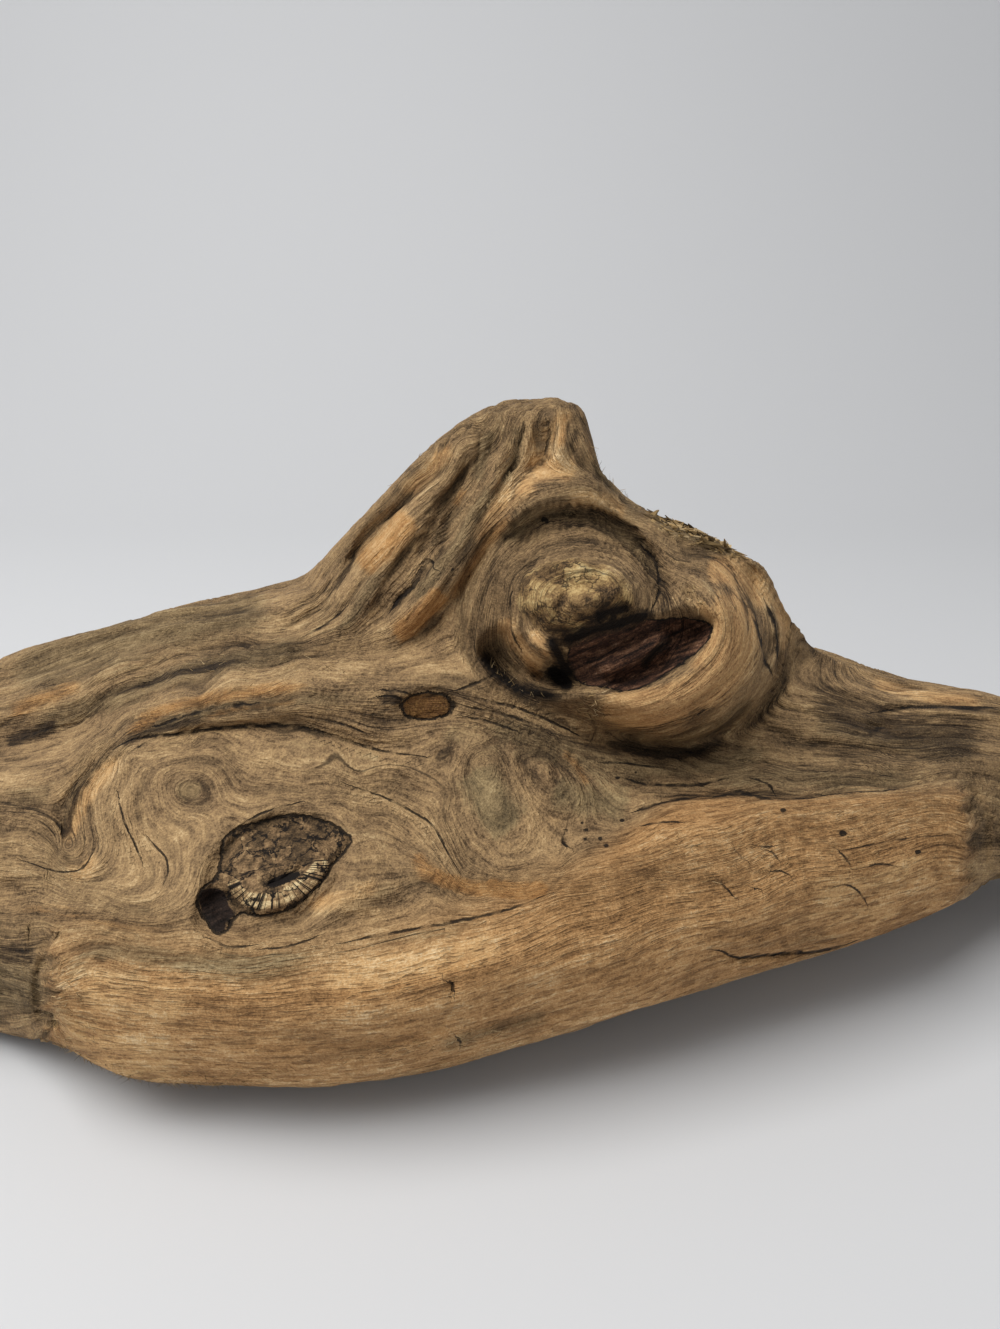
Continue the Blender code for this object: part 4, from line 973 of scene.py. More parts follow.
# Cracks traced on the photograph: channel, half width in pixels, then path. Those of one channel lie apart
CRACKS = (
    (0, 1.6, (340, 944), (380, 936), (420, 928), (460, 920), (505, 911), (552, 893)),
    (0, 2.0, (108, 753), (134, 740), (179, 734), (223, 728), (265, 726), (303, 728), (335, 737), (383, 751),
     (424, 756)),
    (1, 1.4, (132, 752), (160, 738), (200, 728)),
    (2, 1.5, (150, 726), (190, 714), (225, 706), (262, 702)),
    (1, 1.3, (300, 716), (340, 724), (372, 736)),
    (0, 1.0, (118, 791), (124, 820), (137, 849), (143, 865)),
    (1, 1.0, (147, 836), (157, 848), (166, 858), (168, 872), (164, 884)),
    (2, 1.1, (226, 836), (246, 822), (271, 810), (305, 801)),
    (2, 1.2, (344, 783), (383, 797), (415, 813), (434, 827), (447, 852), (460, 874)),
    (1, 1.3, (207, 938), (230, 947), (256, 945)),
    (2, 1.2, (260, 950), (290, 946), (318, 936)),
    (0, 1.3, (376, 698), (390, 696), (404, 700)),
    (1, 1.2, (378, 690), (396, 691), (412, 694)),
    (0, 1.8, (450, 692), (474, 684), (493, 675), (505, 672)),
    (1, 1.6, (452, 704), (477, 709), (506, 715), (535, 725), (560, 736)),
    (2, 1.6, (458, 694), (493, 702), (525, 711), (556, 724), (590, 742)),
    (0, 1.4, (462, 716), (490, 722), (520, 732)),
    (2, 2.2, (389, 612), (397, 600), (410, 588), (420, 571), (427, 561)),
    (1, 1.6, (420, 566), (430, 560), (436, 570)),
    (0, 1.8, (511, 590), (509, 612), (512, 632), (520, 648)),
    (2, 2.0, (752, 612), (759, 635), (766, 662), (772, 676)),
    (0, 1.6, (764, 600), (776, 632), (776, 664)),
    (0, 1.1, (736, 848), (742, 858), (748, 864)),
    (1, 1.0, (767, 850), (773, 853), (779, 861)),
    (0, 1.0, (771, 872), (782, 871), (790, 878)),
    (2, 1.0, (752, 888), (757, 889), (760, 892)),
    (2, 1.2, (756, 845), (766, 847), (775, 846)),
    (1, 1.1, (838, 850), (846, 858), (850, 867)),
    (0, 1.0, (846, 850), (880, 843), (912, 838), (945, 835)),
    (2, 1.1, (834, 888), (848, 885), (860, 893), (867, 905)),
    (1, 1.0, (717, 877), (726, 888), (736, 899)),
    (2, 1.2, (864, 868), (880, 864), (896, 866)),
    # Along the slab's lower edge: a split, darkened as painted shade of the undercut beneath it
    (1, 1.4, (712, 950), (723, 952), (738, 958), (771, 955), (803, 953), (835, 948), (858, 940)),
    (0, 1.8, (446, 981), (452, 984), (453, 995)),
    (1, 1.6, (456, 1036), (460, 1041), (459, 1047)),
    (0, 1.8, (621, 777), (650, 784), (690, 785), (724, 780)),
    (1, 1.5, (634, 811), (660, 803), (700, 796)),
    (2, 2.0, (700, 799), (740, 792), (771, 798), (800, 797), (835, 793), (900, 790)),
    (1, 1.4, (752, 778), (766, 783), (775, 792)),
    (1, 1.6, (866, 714), (915, 707), (950, 706), (1000, 708)),
    (2, 1.2, (600, 762), (630, 764), (660, 768)),
    (1, 1.2, (566, 830), (562, 842), (570, 848)),
    (0, 1.2, (640, 826), (662, 822), (684, 822)),
    (2, 1.0, (20, 860), (60, 872), (84, 868), (92, 850)),
    (0, 1.2, (300, 640), (330, 622), (350, 604)),
    (1, 1.3, (690, 722), (702, 712), (708, 708)),
    (0, 1.3, (590, 742), (596, 728), (590, 716)),
    (2, 1.2, (545, 455), (549, 435), (545, 415)),
    (1, 1.4, (652, 610), (660, 590), (655, 565), (640, 545)),
)
CRACK_REACH = (1.0, 2.6)
CRACK_BOX = 4.0
seen_points = np.flatnonzero(facing > 0.0)


def crack_field(path, half_width):
    """The seen points near a crack, how far off each is in half widths, signed by its side, and how near."""
    close, distance, side, from_end = beside(drawn[seen_points], on_drawing(path), CRACK_BOX)
    taper = 0.3 + 0.7 * smooth(from_end, 0.0, 0.25)
    near = 1.0 - smooth(distance, *CRACK_REACH)
    return seen_points[close], side * distance / (half_width * taper), near


crack_side = np.full((len(points), 3), 9.0)
crack_near = np.zeros((len(points), 3))
for channel, half_width, *path in CRACKS:
    close, side, near = crack_field(path, half_width * PIXEL)
    nearer = near > crack_near[close, channel]
    crack_side[close[nearer], channel] = side[nearer]
    crack_near[close[nearer], channel] = near[nearer]

FOLD_SHADE = 0.55
slab_mark = slab_field(drawn) * facing
eye_mark = mound_field(drawn, (19.0, 16.0), (17.0, 11.5), -6, 0.6) * facing
BARK = (
    (572, 640), (590, 633), (615, 627), (645, 621), (682, 618), (706, 622), (713, 629), (703, 645),
    (675, 667), (645, 686), (612, 689), (582, 684), (567, 668),
)
bark_mark = outline_field(drawn, on_drawing(BARK), 1.6) * facing

# Where the wood is crumbly rather than fibrous: the eye, the crust right of the peak, the flank, the trunk
crumbly = np.maximum(eye_mark, 0.55 * mound_field(drawn, (48.0, 32.0), (20.0, 8.0), -22, 0.4) * facing)
for centre, half, turn, amount in (((30.0, 58.0), (14.0, 10.0), 0, 0.4),
                                   ((-25.0, 30.0), (24.0, 9.0), 50, 0.3),
                                   ((95.0, -18.0), (34.0, 14.0), -12, 0.35),
                                   ((12.0, -4.0), (16.0, 7.0), -35, 0.5)):
    crumbly = np.maximum(crumbly, amount * mound_field(drawn, centre, half, turn, 0.3) * facing)
crumbly = np.maximum(crumbly, 0.10 + 0.1 * (1.0 - facing)) * end_fade(points)
knot_place = mound_field(drawn, (-56.0, -53.0), (32.0, 27.0), 20, 0.4)
knot_mark = knot_place * facing
swirl_mark = np.maximum(mound_field(drawn, (-77.0, -32.0), (19.0, 17.0), 0, 0.3),
                        mound_field(drawn, (4.0, -34.0), (24.0, 20.0), 0, 0.3)) * facing
paints = {name: paint(strokes) for name, strokes in PAINTS.items()}
# Painted shade along the sharp folds, too
paints["dark"] = np.maximum(paints["dark"], paint([(FOLD_SHADE, *fold) for fold in FOLDS]))

# How deeply the grain is furrowed: hardly on the polished slab and swirls, deeply on the flank and the back
furrow = 0.75 + 0.25 * (1.0 - facing) - 0.45 * slab_mark - 0.5 * swirl_mark - 0.45 * knot_mark
furrow += 0.5 * paints["grey"] - 0.2 * paints["golden"]
furrow += 0.9 * mound_field(drawn, (-14.0, 38.0), (44.0, 17.0), 46, 0.3) * facing
furrow = np.clip(furrow, 0.15, 1.9) * end_fade(points)
sole = smooth(points[:, 2], 0.4, 3.0)

# Outlines of the large knot: its rim, its pale ring of end wood, and the rotted pocket at its lower left
KNOT_RIM = (
    (223, 842), (236, 830), (265, 820), (287, 815), (314, 817), (335, 826), (351, 839), (346, 850),
    (332, 865), (325, 877), (306, 897), (287, 909), (261, 916), (239, 914), (228, 930), (217, 934),
    (207, 922), (198, 905), (204, 888), (217, 878), (221, 860),
)
KNOT_RING = (
    (226, 884), (236, 878), (246, 890), (262, 893), (280, 889), (296, 880), (308, 868), (318, 858),
    (330, 862), (326, 876), (310, 892), (290, 904), (262, 910), (240, 904),
)
KNOT_POCKET = (
    (200, 893), (212, 888), (224, 892), (229, 906), (237, 916), (227, 920), (224, 932), (213, 931),
    (203, 918),
)
knot_depths = np.full((len(points), 3), -9.0)
by_knot = np.flatnonzero((knot_place > 0.0) & (facing > 0.0))
for column, outline in enumerate((KNOT_RIM, KNOT_RING, KNOT_POCKET)):
    knot_depths[by_knot, column] = outline_depth(drawn[by_knot], on_drawing(outline))

# Pinholes of beetles and shipworm: group, place and half width in pixels. Those of one group lie apart
PINHOLES = (
    (0, 453, 570, 2.6), (0, 783, 810, 2.6), (0, 843, 833, 3.6), (0, 918, 852, 3.0), (0, 565, 830, 2.4),
    (0, 582, 823, 1.8), (1, 586, 830, 2.0), (0, 585, 839, 1.6), (1, 600, 838, 1.8), (0, 606, 845, 2.4),
    (0, 622, 820, 2.2), (0, 524, 780, 2.0), (0, 618, 777, 2.2), (0, 754, 889, 2.0), (0, 636, 772, 1.6),
    (0, 545, 520, 3.4),
)
CLOSED_HOLE = (9.0, 9.0, -5.0)
pinholes = np.tile(CLOSED_HOLE, (2, len(points), 1))
for group, u, v, half in PINHOLES:
    hole_offset = (drawn - on_drawing((u, v))) * (0.8, 1.0)
    distance = np.linalg.norm(hole_offset, axis=1)
    near = (distance < 3.5) & (facing > 0.0) & (distance < np.linalg.norm(pinholes[group, :, :2], axis=1))
    open_half = np.where(distance[near] < 1.6, 0.9 * half * PIXEL, CLOSED_HOLE[2])
    pinholes[group, near] = np.column_stack((hole_offset[near], open_half))

MARKS = {
    "pinhole": pinholes[0],
    "other_pinhole": pinholes[1],
    "knot": knot_depths,
    "drawn": np.column_stack((drawn, facing)),
    "grain": np.column_stack((level, 0.05 * points[:, 0], 0.05 * (points[:, 1] + points[:, 2]))),
    "warm": np.column_stack((paints["orange"], paints["golden"], paints["pale"])),
    # Grey, painted shade and green
    "grey_shade_green": np.column_stack((paints["grey"], paints["dark"], paints["green"])),
    "parts": np.column_stack((slab_mark, bark_mark, eye_mark)),
    "form": np.column_stack((crumbly, furrow, sole)),
    "crack_side": crack_side,
    "crack_near": crack_near,
}


# What the mode of a node is called, on the kinds that have one
MODE_NAMES = ("operation", "interpolation_type", "rotation_type", "feature", "data_type")


def add(tree, kind, *values, inputs=None, output=0, stops=(), **settings):
    """A new node of the tree, of which it gives one output.

    A kind may end with the node's mode. The values go to its open inputs in order, and the inputs to those of
    these names, as links where they are another node's output. Stops are (place, sRGB hex) of a colour ramp.
    """
    kind, *modes = kind.split()
    made = tree.nodes.new(kind if kind.startswith(("Geometry", "Function", "Node")) else "ShaderNode" + kind)
    for mode in modes:
        settings[next(name for name in MODE_NAMES if hasattr(made, name))] = mode
    for name, value in settings.items():
        setattr(made, name, value)
    while stops and len(made.color_ramp.elements) < len(stops):
        made.color_ramp.elements.new(0.5)
    for (place, code), element in zip(stops, made.color_ramp.elements if stops else ()):
        element.position = place
        element.color = colour(code)
    open_inputs = [socket for socket in made.inputs if socket.enabled]
    named_inputs = [(made.inputs[name], value) for name, value in (inputs or {}).items()]
    for socket, value in [*zip(open_inputs, values), *named_inputs]:
        if isinstance(value, bpy.types.NodeSocket):
            tree.links.new(value, socket)
        else:
            socket.default_value = value
    if isinstance(output, str):
        return made.outputs[output]
    return [socket for socket in made.outputs if socket.enabled][output]


def colour(code):
    """A colour given as sRGB hex, as linear light."""
    channels = [int(code[i:i + 2], 16) / 255.0 for i in (1, 3, 5)]
    linear = [c / 12.92 if c <= 0.04045 else ((c + 0.055) / 1.055) ** 2.4 for c in channels]
    return (*linear, 1.0)


def weigh(tree, start, *terms):
    """A start value plus each (noise, amount), with every noise taken around 0.5."""
    total = start
    for value, amount in terms:
        total = add(tree, "Math MULTIPLY_ADD", value, amount, add(tree, "Math SUBTRACT", total, amount / 2.0))
    return total


def surface_tree(name, inputs):
    """A Geometry Nodes tree from geometry to geometry, with its further inputs by name, and where it ends."""
    tree = bpy.data.node_groups.new(name, "GeometryNodeTree")
    tree.interface.new_socket("Geometry", in_out="OUTPUT", socket_type="NodeSocketGeometry")
    for socket, kind in {"Geometry": "Geometry", **inputs}.items():
        tree.interface.new_socket(socket, in_out="INPUT", socket_type="NodeSocket" + kind)
    return tree, add(tree, "NodeGroupInput").node.outputs, tree.nodes.new("NodeGroupOutput").inputs[0]


# Furrows of the grain: how large they are across its levels, how far they waver, and how high they are in
# millimetres
BAND_SCALE = 0.11
RIDGE_SCALE = 0.42
RING_GAP_SCALE = 0.5
WOBBLE = 2.2
BAND_HEIGHT = 2.4
RIDGE_HEIGHT = 0.8
LUMP_HEIGHT = 3.4
# Noises in space: how many of their swells make a metre
WOBBLE_SCALE = 45.0
BLOTCH_SCALE = 70.0
CRACK_GAP_SCALE = 230.0
LUMP_SCALE = 190.0


def furrow_tree():
    """Waves the grain a little, then furrows the surface along it, and keeps both for the material."""
    tree, given, end = surface_tree("furrows along the grain", {
        "Wobble": "Float", "Band Height": "Float", "Ridge Height": "Float", "Lump Height": "Float",
        "Material": "Material", "Knot Material": "Material", "Burl Material": "Material",
    })

    def keep(geometry, name, vector):
        return add(tree, "GeometryNodeStoreNamedAttribute FLOAT_VECTOR", domain="POINT",
                   inputs={"Geometry": geometry, "Name": name, "Value": vector})

    def read(name):
        return add(tree, "GeometryNodeInputNamedAttribute FLOAT_VECTOR", name)

    place = add(tree, "GeometryNodeInputPosition")
    slab, bark, eye = add(tree, "SeparateXYZ", read("parts")).node.outputs
    crumbly, furrow, sole = add(tree, "SeparateXYZ", read("form")).node.outputs
    calm = add(tree, "Math MULTIPLY_ADD", slab, -0.7, 1.0)
    wave = add(tree, "Math SUBTRACT", add(tree, "TexNoise", place, WOBBLE_SCALE, 2.0), 0.5)
    shift = add(tree, "Math MULTIPLY", add(tree, "Math MULTIPLY", wave, given["Wobble"]), calm)
    waved = add(tree, "VectorMath ADD", read("grain"), add(tree, "CombineXYZ", shift))
    kept = keep(given["Geometry"], "grain", waved)

    grain = read("grain")
    bands = add(tree, "TexNoise", grain, BAND_SCALE, 2.0, 0.5)
    narrow = add(tree, "VectorMath MULTIPLY", grain, (1.0, 2.0, 2.0))
    ridges = add(tree, "TexNoise", narrow, RIDGE_SCALE, 2.0, 0.5)
    blotches = add(tree, "TexNoise", place, BLOTCH_SCALE, 3.0, 0.55)
    kept = keep(kept, "slow", add(tree, "CombineXYZ", bands, ridges, blotches))
    broken = add(tree, "TexNoise", place, CRACK_GAP_SCALE, 1.0)
    broken = add(tree, "MapRange SMOOTHSTEP", broken, 0.36, 0.5, 0.25, 1.0)
    ringed = add(tree, "VectorMath MULTIPLY", grain, (1.0, 2.4, 2.4))
    ringed = add(tree, "MapRange SMOOTHSTEP", add(tree, "TexNoise", ringed, RING_GAP_SCALE, 2.0), 0.4, 0.68)
    kept = keep(kept, "gaps", add(tree, "CombineXYZ", broken, ringed))

    height = add(tree, "Math MULTIPLY", add(tree, "Math SUBTRACT", bands, 0.5), given["Band Height"])
    ridge = add(tree, "MapRange SMOOTHSTEP", ridges, 0.3, 0.6, -1.0, 0.4)
    height = add(tree, "Math MULTIPLY_ADD", ridge, given["Ridge Height"], height)
    height = add(tree, "Math MULTIPLY", height, furrow)
    lumps = add(tree, "Math SUBTRACT", add(tree, "TexNoise", place, LUMP_SCALE, 3.0, 0.55), 0.5)
    lumps = add(tree, "Math MULTIPLY", lumps, given["Lump Height"])
    height = add(tree, "Math MULTIPLY_ADD", lumps, crumbly, height)
    height = add(tree, "Math MULTIPLY", add(tree, "Math MULTIPLY", height, sole), MM)
    move = add(tree, "VectorMath SCALE", add(tree, "GeometryNodeInputNormal"), height)
    moved = add(tree, "GeometryNodeSetPosition", inputs={"Geometry": kept, "Offset": move})
    x, y, z = add(tree, "SeparateXYZ", place).node.outputs
    above = add(tree, "CombineXYZ", x, y, add(tree, "Math MAXIMUM", z, 0.0))
    moved = add(tree, "GeometryNodeSetPosition", inputs={"Geometry": moved, "Position": above})

    finish = add(tree, "GeometryNodeRealizeInstances", moved)
    rim_depth = add(tree, "SeparateXYZ", read("knot"))
    by_knot = add(tree, "Math GREATER_THAN", rim_depth, -4.0)
    by_burl = add(tree, "Math GREATER_THAN", add(tree, "Math MAXIMUM", bark, eye), 0.0)
    for chosen, material in ((True, "Material"), (by_knot, "Knot Material"), (by_burl, "Burl Material")):
        finish = add(tree, "GeometryNodeSetMaterial", finish, chosen, given[material])
    tree.links.new(finish, end)
    return tree


def through_nodes(thing, tree, values):
    """Replaces the object's mesh by what a Geometry Nodes tree makes of it."""
    made = thing.modifiers.new("nodes", "NODES")
    made.node_group = tree
    for socket in tree.interface.items_tree:
        if socket.item_type == "SOCKET" and socket.in_out == "INPUT" and socket.name in values:
            made[socket.identifier] = values[socket.name]
    graph = bpy.context.evaluated_depsgraph_get()
    mesh = bpy.data.meshes.new_from_object(thing.evaluated_get(graph))
    thing.modifiers.remove(made)
    thing.data = mesh


# Noises in space: how many of their swells make a metre
CRUMB_SCALE = 420.0
FUZZ_SCALE = 1700.0
# Growth rings: how many levels of the grain lie from one to the next
RING_PITCH = 1.25


def wood_lines(tree):
    """What is stored on the wood, by name, and the noises that its marks are made of."""

    def stored(name):
        return add(tree, "Attribute", output="Vector", attribute_name=name)

    def parts_of(name):
        return add(tree, "SeparateXYZ", stored(name)).node.outputs

    def along(shorter, scale, detail, roughness):
        """A noise in streaks along the grain."""
        grain = add(tree, "VectorMath MULTIPLY", stored("grain"), (1.0, shorter, shorter))
        return add(tree, "TexNoise", grain, scale, detail, roughness)

    w = SimpleNamespace(seen=stored("drawn"), level=parts_of("grain")[0], furrow=parts_of("form")[1])
    w.orange, w.golden, w.pale = parts_of("warm")
    # Grey, painted shade and green, as painted on the drawing
    w.grey, w.dark, w.green = parts_of("grey_shade_green")
    w.slab, w.bark, w.eye = parts_of("parts")
    w.bands, w.ridges, w.blotches = parts_of("slow")
    w.broken, w.ringed, _ = parts_of("gaps")
    w.crack_sides, w.crack_nears = parts_of("crack_side"), parts_of("crack_near")
    w.rim_depth, w.ring_depth, w.pocket_depth = parts_of("knot")
    w.pinholes = parts_of("pinhole"), parts_of("other_pinhole")
    w.place = add(tree, "TexCoord", output="Object")
    w.streaks = along(1.5, 0.9, 3.0, 0.6)
    w.fibres = along(1.3, 2.8, 2.0, 0.6)
    w.dashes = along(2.6, 1.5, 1.0, 0.55)
    w.checks = along(0.8, 0.3, 1.0, 0.5)
    w.crumbs = add(tree, "TexNoise", w.place, CRUMB_SCALE, 3.0, 0.65)
    w.fuzz = add(tree, "TexNoise", w.place, FUZZ_SCALE, 1.0, 0.7)
    return w


def growth_rings(tree, w):
    """Rings cut by the worn surface: fine regular lines that come and go along the grain."""
    phase = weigh(tree, w.level, (w.bands, 6.0), (w.streaks, 1.5), (w.fibres, 0.5))
    ring = add(tree, "Math SINE", add(tree, "Math MULTIPLY", phase, 2.0 * math.pi / RING_PITCH))
    return add(tree, "Math MULTIPLY", add(tree, "MapRange SMOOTHSTEP", ring, 0.0, 0.95), w.ringed)


def traced_cracks(tree, w):
    """The drawn cracks, with ragged sides and gaps."""
    ragged = weigh(tree, 0.0, (w.fibres, 1.6), (w.crumbs, 2.2))
    crack = 0.0
    for side, near in zip(w.crack_sides, w.crack_nears):
        off = add(tree, "Math ABSOLUTE", add(tree, "Math ADD", side, ragged))
        line = add(tree, "Math MULTIPLY", add(tree, "MapRange SMOOTHSTEP", off, 1.2, 0.3), near)
        crack = add(tree, "Math MAXIMUM", crack, add(tree, "Math MULTIPLY", line, w.broken))
    return crack


def open_checks(tree, w):
    """Long thin checks along the grain, where it is furrowed."""
    off = add(tree, "Math ABSOLUTE", add(tree, "Math SUBTRACT", w.checks, 0.5))
    line = add(tree, "MapRange SMOOTHSTEP", off, 0.013, 0.003)
    line = add(tree, "Math MULTIPLY", line, add(tree, "MapRange SMOOTHSTEP", w.bands, 0.5, 0.38))
    return add(tree, "Math MULTIPLY", line, add(tree, "MapRange SMOOTHSTEP", w.furrow, 0.3, 0.7))


def round_holes(tree, w):
    """Pinholes of beetles and shipworm."""
    holes = 0.0
    for across, up, half in w.pinholes:
        off = add(tree, "Math MULTIPLY_ADD", across, across, add(tree, "Math MULTIPLY", up, up))
        off = add(tree, "Math SUBTRACT", add(tree, "Math SQRT", off), half)
        hole = add(tree, "MapRange SMOOTHSTEP", weigh(tree, off, (w.crumbs, 0.7)), 0.1, -0.15)
        holes = add(tree, "Math MAXIMUM", holes, hole)
    return holes


def rot_threads(tree, w):
    """Threads of rotten wood, which run up to the right."""
    turned = add(tree, "VectorRotate Z_AXIS", w.seen, inputs={"Angle": math.radians(-24.0)})
    return add(tree, "TexNoise", add(tree, "VectorMath MULTIPLY", turned, (0.11, 0.9, 0.0)), 1.0, 4.0, 0.6)


# The end wood of the eye: how many swells and cells of it make a metre
EYE_SHAKE_SCALE = 260.0
EYE_CELL_SCALE = 150.0
EYE_GAP_SCALE = 110.0
EYE_KNOB_SCALE = 130.0


def eye_knot(tree, w, body, eye_mask):
    """The eye of the burl: pale end wood with cracks in cells."""
    shake = add(tree, "TexNoise", w.place, EYE_SHAKE_SCALE, output="Color")
    shaken = add(tree, "VectorMath MULTIPLY", shake, (0.006, 0.006, 0.006))
    shaken = add(tree, "VectorMath ADD", w.place, shaken)
    cells = add(tree, "TexVoronoi DISTANCE_TO_EDGE", shaken, EYE_CELL_SCALE)
    cracks = add(tree, "MapRange SMOOTHSTEP", weigh(tree, cells, (w.fuzz, 0.1)), 0.06, 0.0)
    gaps = add(tree, "MapRange SMOOTHSTEP", add(tree, "TexNoise", w.place, EYE_GAP_SCALE, 1.0), 0.35, 0.5)
    cracks = add(tree, "Math MULTIPLY", cracks, gaps)
    knobs = add(tree, "TexNoise", w.place, EYE_KNOB_SCALE, 2.0, 0.5)
    tone = weigh(tree, 0.41, (knobs, 1.6), (w.crumbs, 0.7), (w.fuzz, 0.6), (w.streaks, 0.7))
    eye = add(tree, "ValToRGB", tone, stops=(
        (0.05, "#2c2114"), (0.33, "#71583a"), (0.55, "#a08356"), (0.8, "#c8ad79"), (1.0, "#dcc99b")))
    eye = add(tree, "Mix RGBA", add(tree, "Math MULTIPLY", cracks, 0.85), eye, colour("#2a2015"))
    return add(tree, "Mix RGBA", eye_mask, body, eye)


def rotted_mouth(tree, w, body, threads):
    """The mouth of the burl: dark red-brown bark ringed by black rot and painted shade, with fibres that run
    up to the right.
    """
    tone = weigh(tree, 0.42, (threads, 1.8), (w.crumbs, 0.7), (w.fuzz, 0.6))
    rot = add(tree, "ValToRGB", tone, stops=(
        (0.1, "#170f0b"), (0.4, "#493125"), (0.65, "#79563f"), (1.0, "#b3937a")))
    ragged = weigh(tree, w.bark, (w.crumbs, 0.9), (threads, 0.5))
    # Black round the bark: painted shade in the crevice there, with the rot
    body = add(tree, "Mix RGBA", add(tree, "MapRange SMOOTHSTEP", ragged, 0.1, 0.35), body, colour("#120c09"))
    return add(tree, "Mix RGBA", add(tree, "MapRange SMOOTHSTEP", ragged, 0.4, 0.62), body, rot)


# The large knot: its heart, its half sizes and its slot in pixels of the photograph, and how it is turned
KNOT_HEART = (274, 864)
KNOT_HALF = (60, 44)
KNOT_SLOT = (284, 879)
KNOT_TURN = math.radians(-20.0)


def knot_offset(tree, w, pixel):
    """The offset from a pixel of the photograph, along and across the large knot, in millimetres."""
    offset = add(tree, "VectorMath SUBTRACT", w.seen, (*on_drawing(pixel), 1.0))
    return add(tree, "VectorRotate Z_AXIS", offset, inputs={"Angle": KNOT_TURN})


def checked_knot(tree, w, body, threads):
    """The large knot: end wood in wedges, a pale ring, a rotted pocket, and where its black rim is."""
    half = (1.0 / PIXEL / KNOT_HALF[0], 1.0 / PIXEL / KNOT_HALF[1], 1.0)
    offset = add(tree, "VectorMath MULTIPLY", knot_offset(tree, w, KNOT_HEART), half)
    east, north, _ = add(tree, "SeparateXYZ", offset).node.outputs
    turn = add(tree, "Math ARCTAN2", north, east)
    reach = add(tree, "Math MULTIPLY_ADD", east, east, add(tree, "Math MULTIPLY", north, north))
    reach = add(tree, "Math SQRT", reach)

    # Wedges between radial splits
    spread = add(tree, "CombineXYZ", turn, reach)
    spread = add(tree, "VectorMath MULTIPLY", spread, (1.5, 2.6, 1.0))
    shake = add(tree, "TexNoise", w.seen, 0.3, 4.0, output="Color")
    spread = add(tree, "VectorMath ADD", spread, add(tree, "VectorMath MULTIPLY", shake, (1.5, 1.5, 0.0)))
    edges = add(tree, "TexVoronoi DISTANCE_TO_EDGE", spread, 1.0)
    wedge_tone = add(tree, "SeparateXYZ", add(tree, "TexVoronoi", spread, 1.0, output="Color"))
    splits = add(tree, "MapRange SMOOTHSTEP", weigh(tree, edges, (w.fuzz, 0.08), (w.crumbs, 0.25)), 0.07, 0.0)
    gaps = add(tree, "MapRange SMOOTHSTEP", add(tree, "TexNoise", w.seen, 0.3, 1.0), 0.24, 0.4)
    splits = add(tree, "Math MULTIPLY", splits, gaps)
    ring_splits = add(tree, "TexNoise", add(tree, "CombineXYZ", add(tree, "Math MULTIPLY", turn, 8.0)), 1.0)
    ring_splits = add(tree, "Math ABSOLUTE", add(tree, "Math SUBTRACT", ring_splits, 0.5))
    ring_splits = add(tree, "MapRange SMOOTHSTEP", ring_splits, 0.035, 0.01)
    on_ring = add(tree, "MapRange SMOOTHSTEP", w.ring_depth, -0.5, 0.2)
    splits = add(tree, "Math MAXIMUM", splits, add(tree, "Math MULTIPLY", ring_splits, on_ring))

    # Tone of the end wood: rays, rings round the heart, gloom at the top, and the pale ring
    rays = add(tree, "CombineXYZ", add(tree, "Math MULTIPLY", turn, 9.0), reach)
    tone = weigh(tree, 0.44, (wedge_tone, 0.3), (add(tree, "TexNoise", rays, 1.0, 2.0), 0.45), (w.fuzz, 0.6),
                 (w.crumbs, 1.0))
    rounds = add(tree, "Math MULTIPLY", weigh(tree, reach, (w.blotches, 0.25), (w.crumbs, 0.12)), 34.0)
    rounds = add(tree, "MapRange SMOOTHSTEP", add(tree, "Math SINE", rounds), -0.2, 1.0)
    gloom = add(tree, "MapRange SMOOTHSTEP", add(tree, "TexNoise", w.seen, 0.16, 2.0), 0.42, 0.62)
    pale = add(tree, "MapRange SMOOTHSTEP", w.ring_depth, -0.3, 0.5)
    for share, amount in ((rounds, -0.12), (gloom, -0.12), (pale, 0.42)):
        tone = add(tree, "Math MULTIPLY_ADD", share, amount, tone)
    knot = add(tree, "ValToRGB", tone, stops=(
        (0.0, "#21180f"), (0.3, "#56442e"), (0.55, "#84694a"), (0.8, "#ae9269"), (1.0, "#cfb88c")))
    knot = add(tree, "Mix RGBA", splits, knot, colour("#16100b"))

    # The open slot under the heart, and the rotted pocket at the lower left
    slot = add(tree, "VectorMath MULTIPLY", knot_offset(tree, w, KNOT_SLOT), (0.19, 0.85, 1.0))
    slot = add(tree, "VectorMath LENGTH", slot)
    slot = add(tree, "MapRange SMOOTHSTEP", weigh(tree, slot, (w.blotches, 0.8), (w.fuzz, 0.5)), 1.15, 0.8)
    knot = add(tree, "Mix RGBA", slot, knot, colour("#120c08"))
    pocket = add(tree, "ValToRGB", weigh(tree, 0.4, (threads, 1.2), (w.fuzz, 0.6)), stops=(
        (0.1, "#0d0907"), (0.5, "#2a1f19"), (0.9, "#5a473a")))
    in_pocket = add(tree, "MapRange SMOOTHSTEP", weigh(tree, w.pocket_depth, (w.fuzz, 0.8)), -0.2, 0.3)
    knot = add(tree, "Mix RGBA", in_pocket, knot, pocket)
    rim = weigh(tree, w.rim_depth, (w.blotches, 1.2), (w.crumbs, 1.6), (w.fuzz, 0.5))
    body = add(tree, "Mix RGBA", add(tree, "MapRange SMOOTHSTEP", rim, -0.1, 0.3), body, knot)
    return body, add(tree, "MapRange SMOOTHSTEP", add(tree, "Math ABSOLUTE", rim), 0.5, 0.1)


# The small knot: its place and half sizes in pixels of the photograph
SMALL_KNOT = (427, 706)
SMALL_KNOT_HALF = (25, 13)


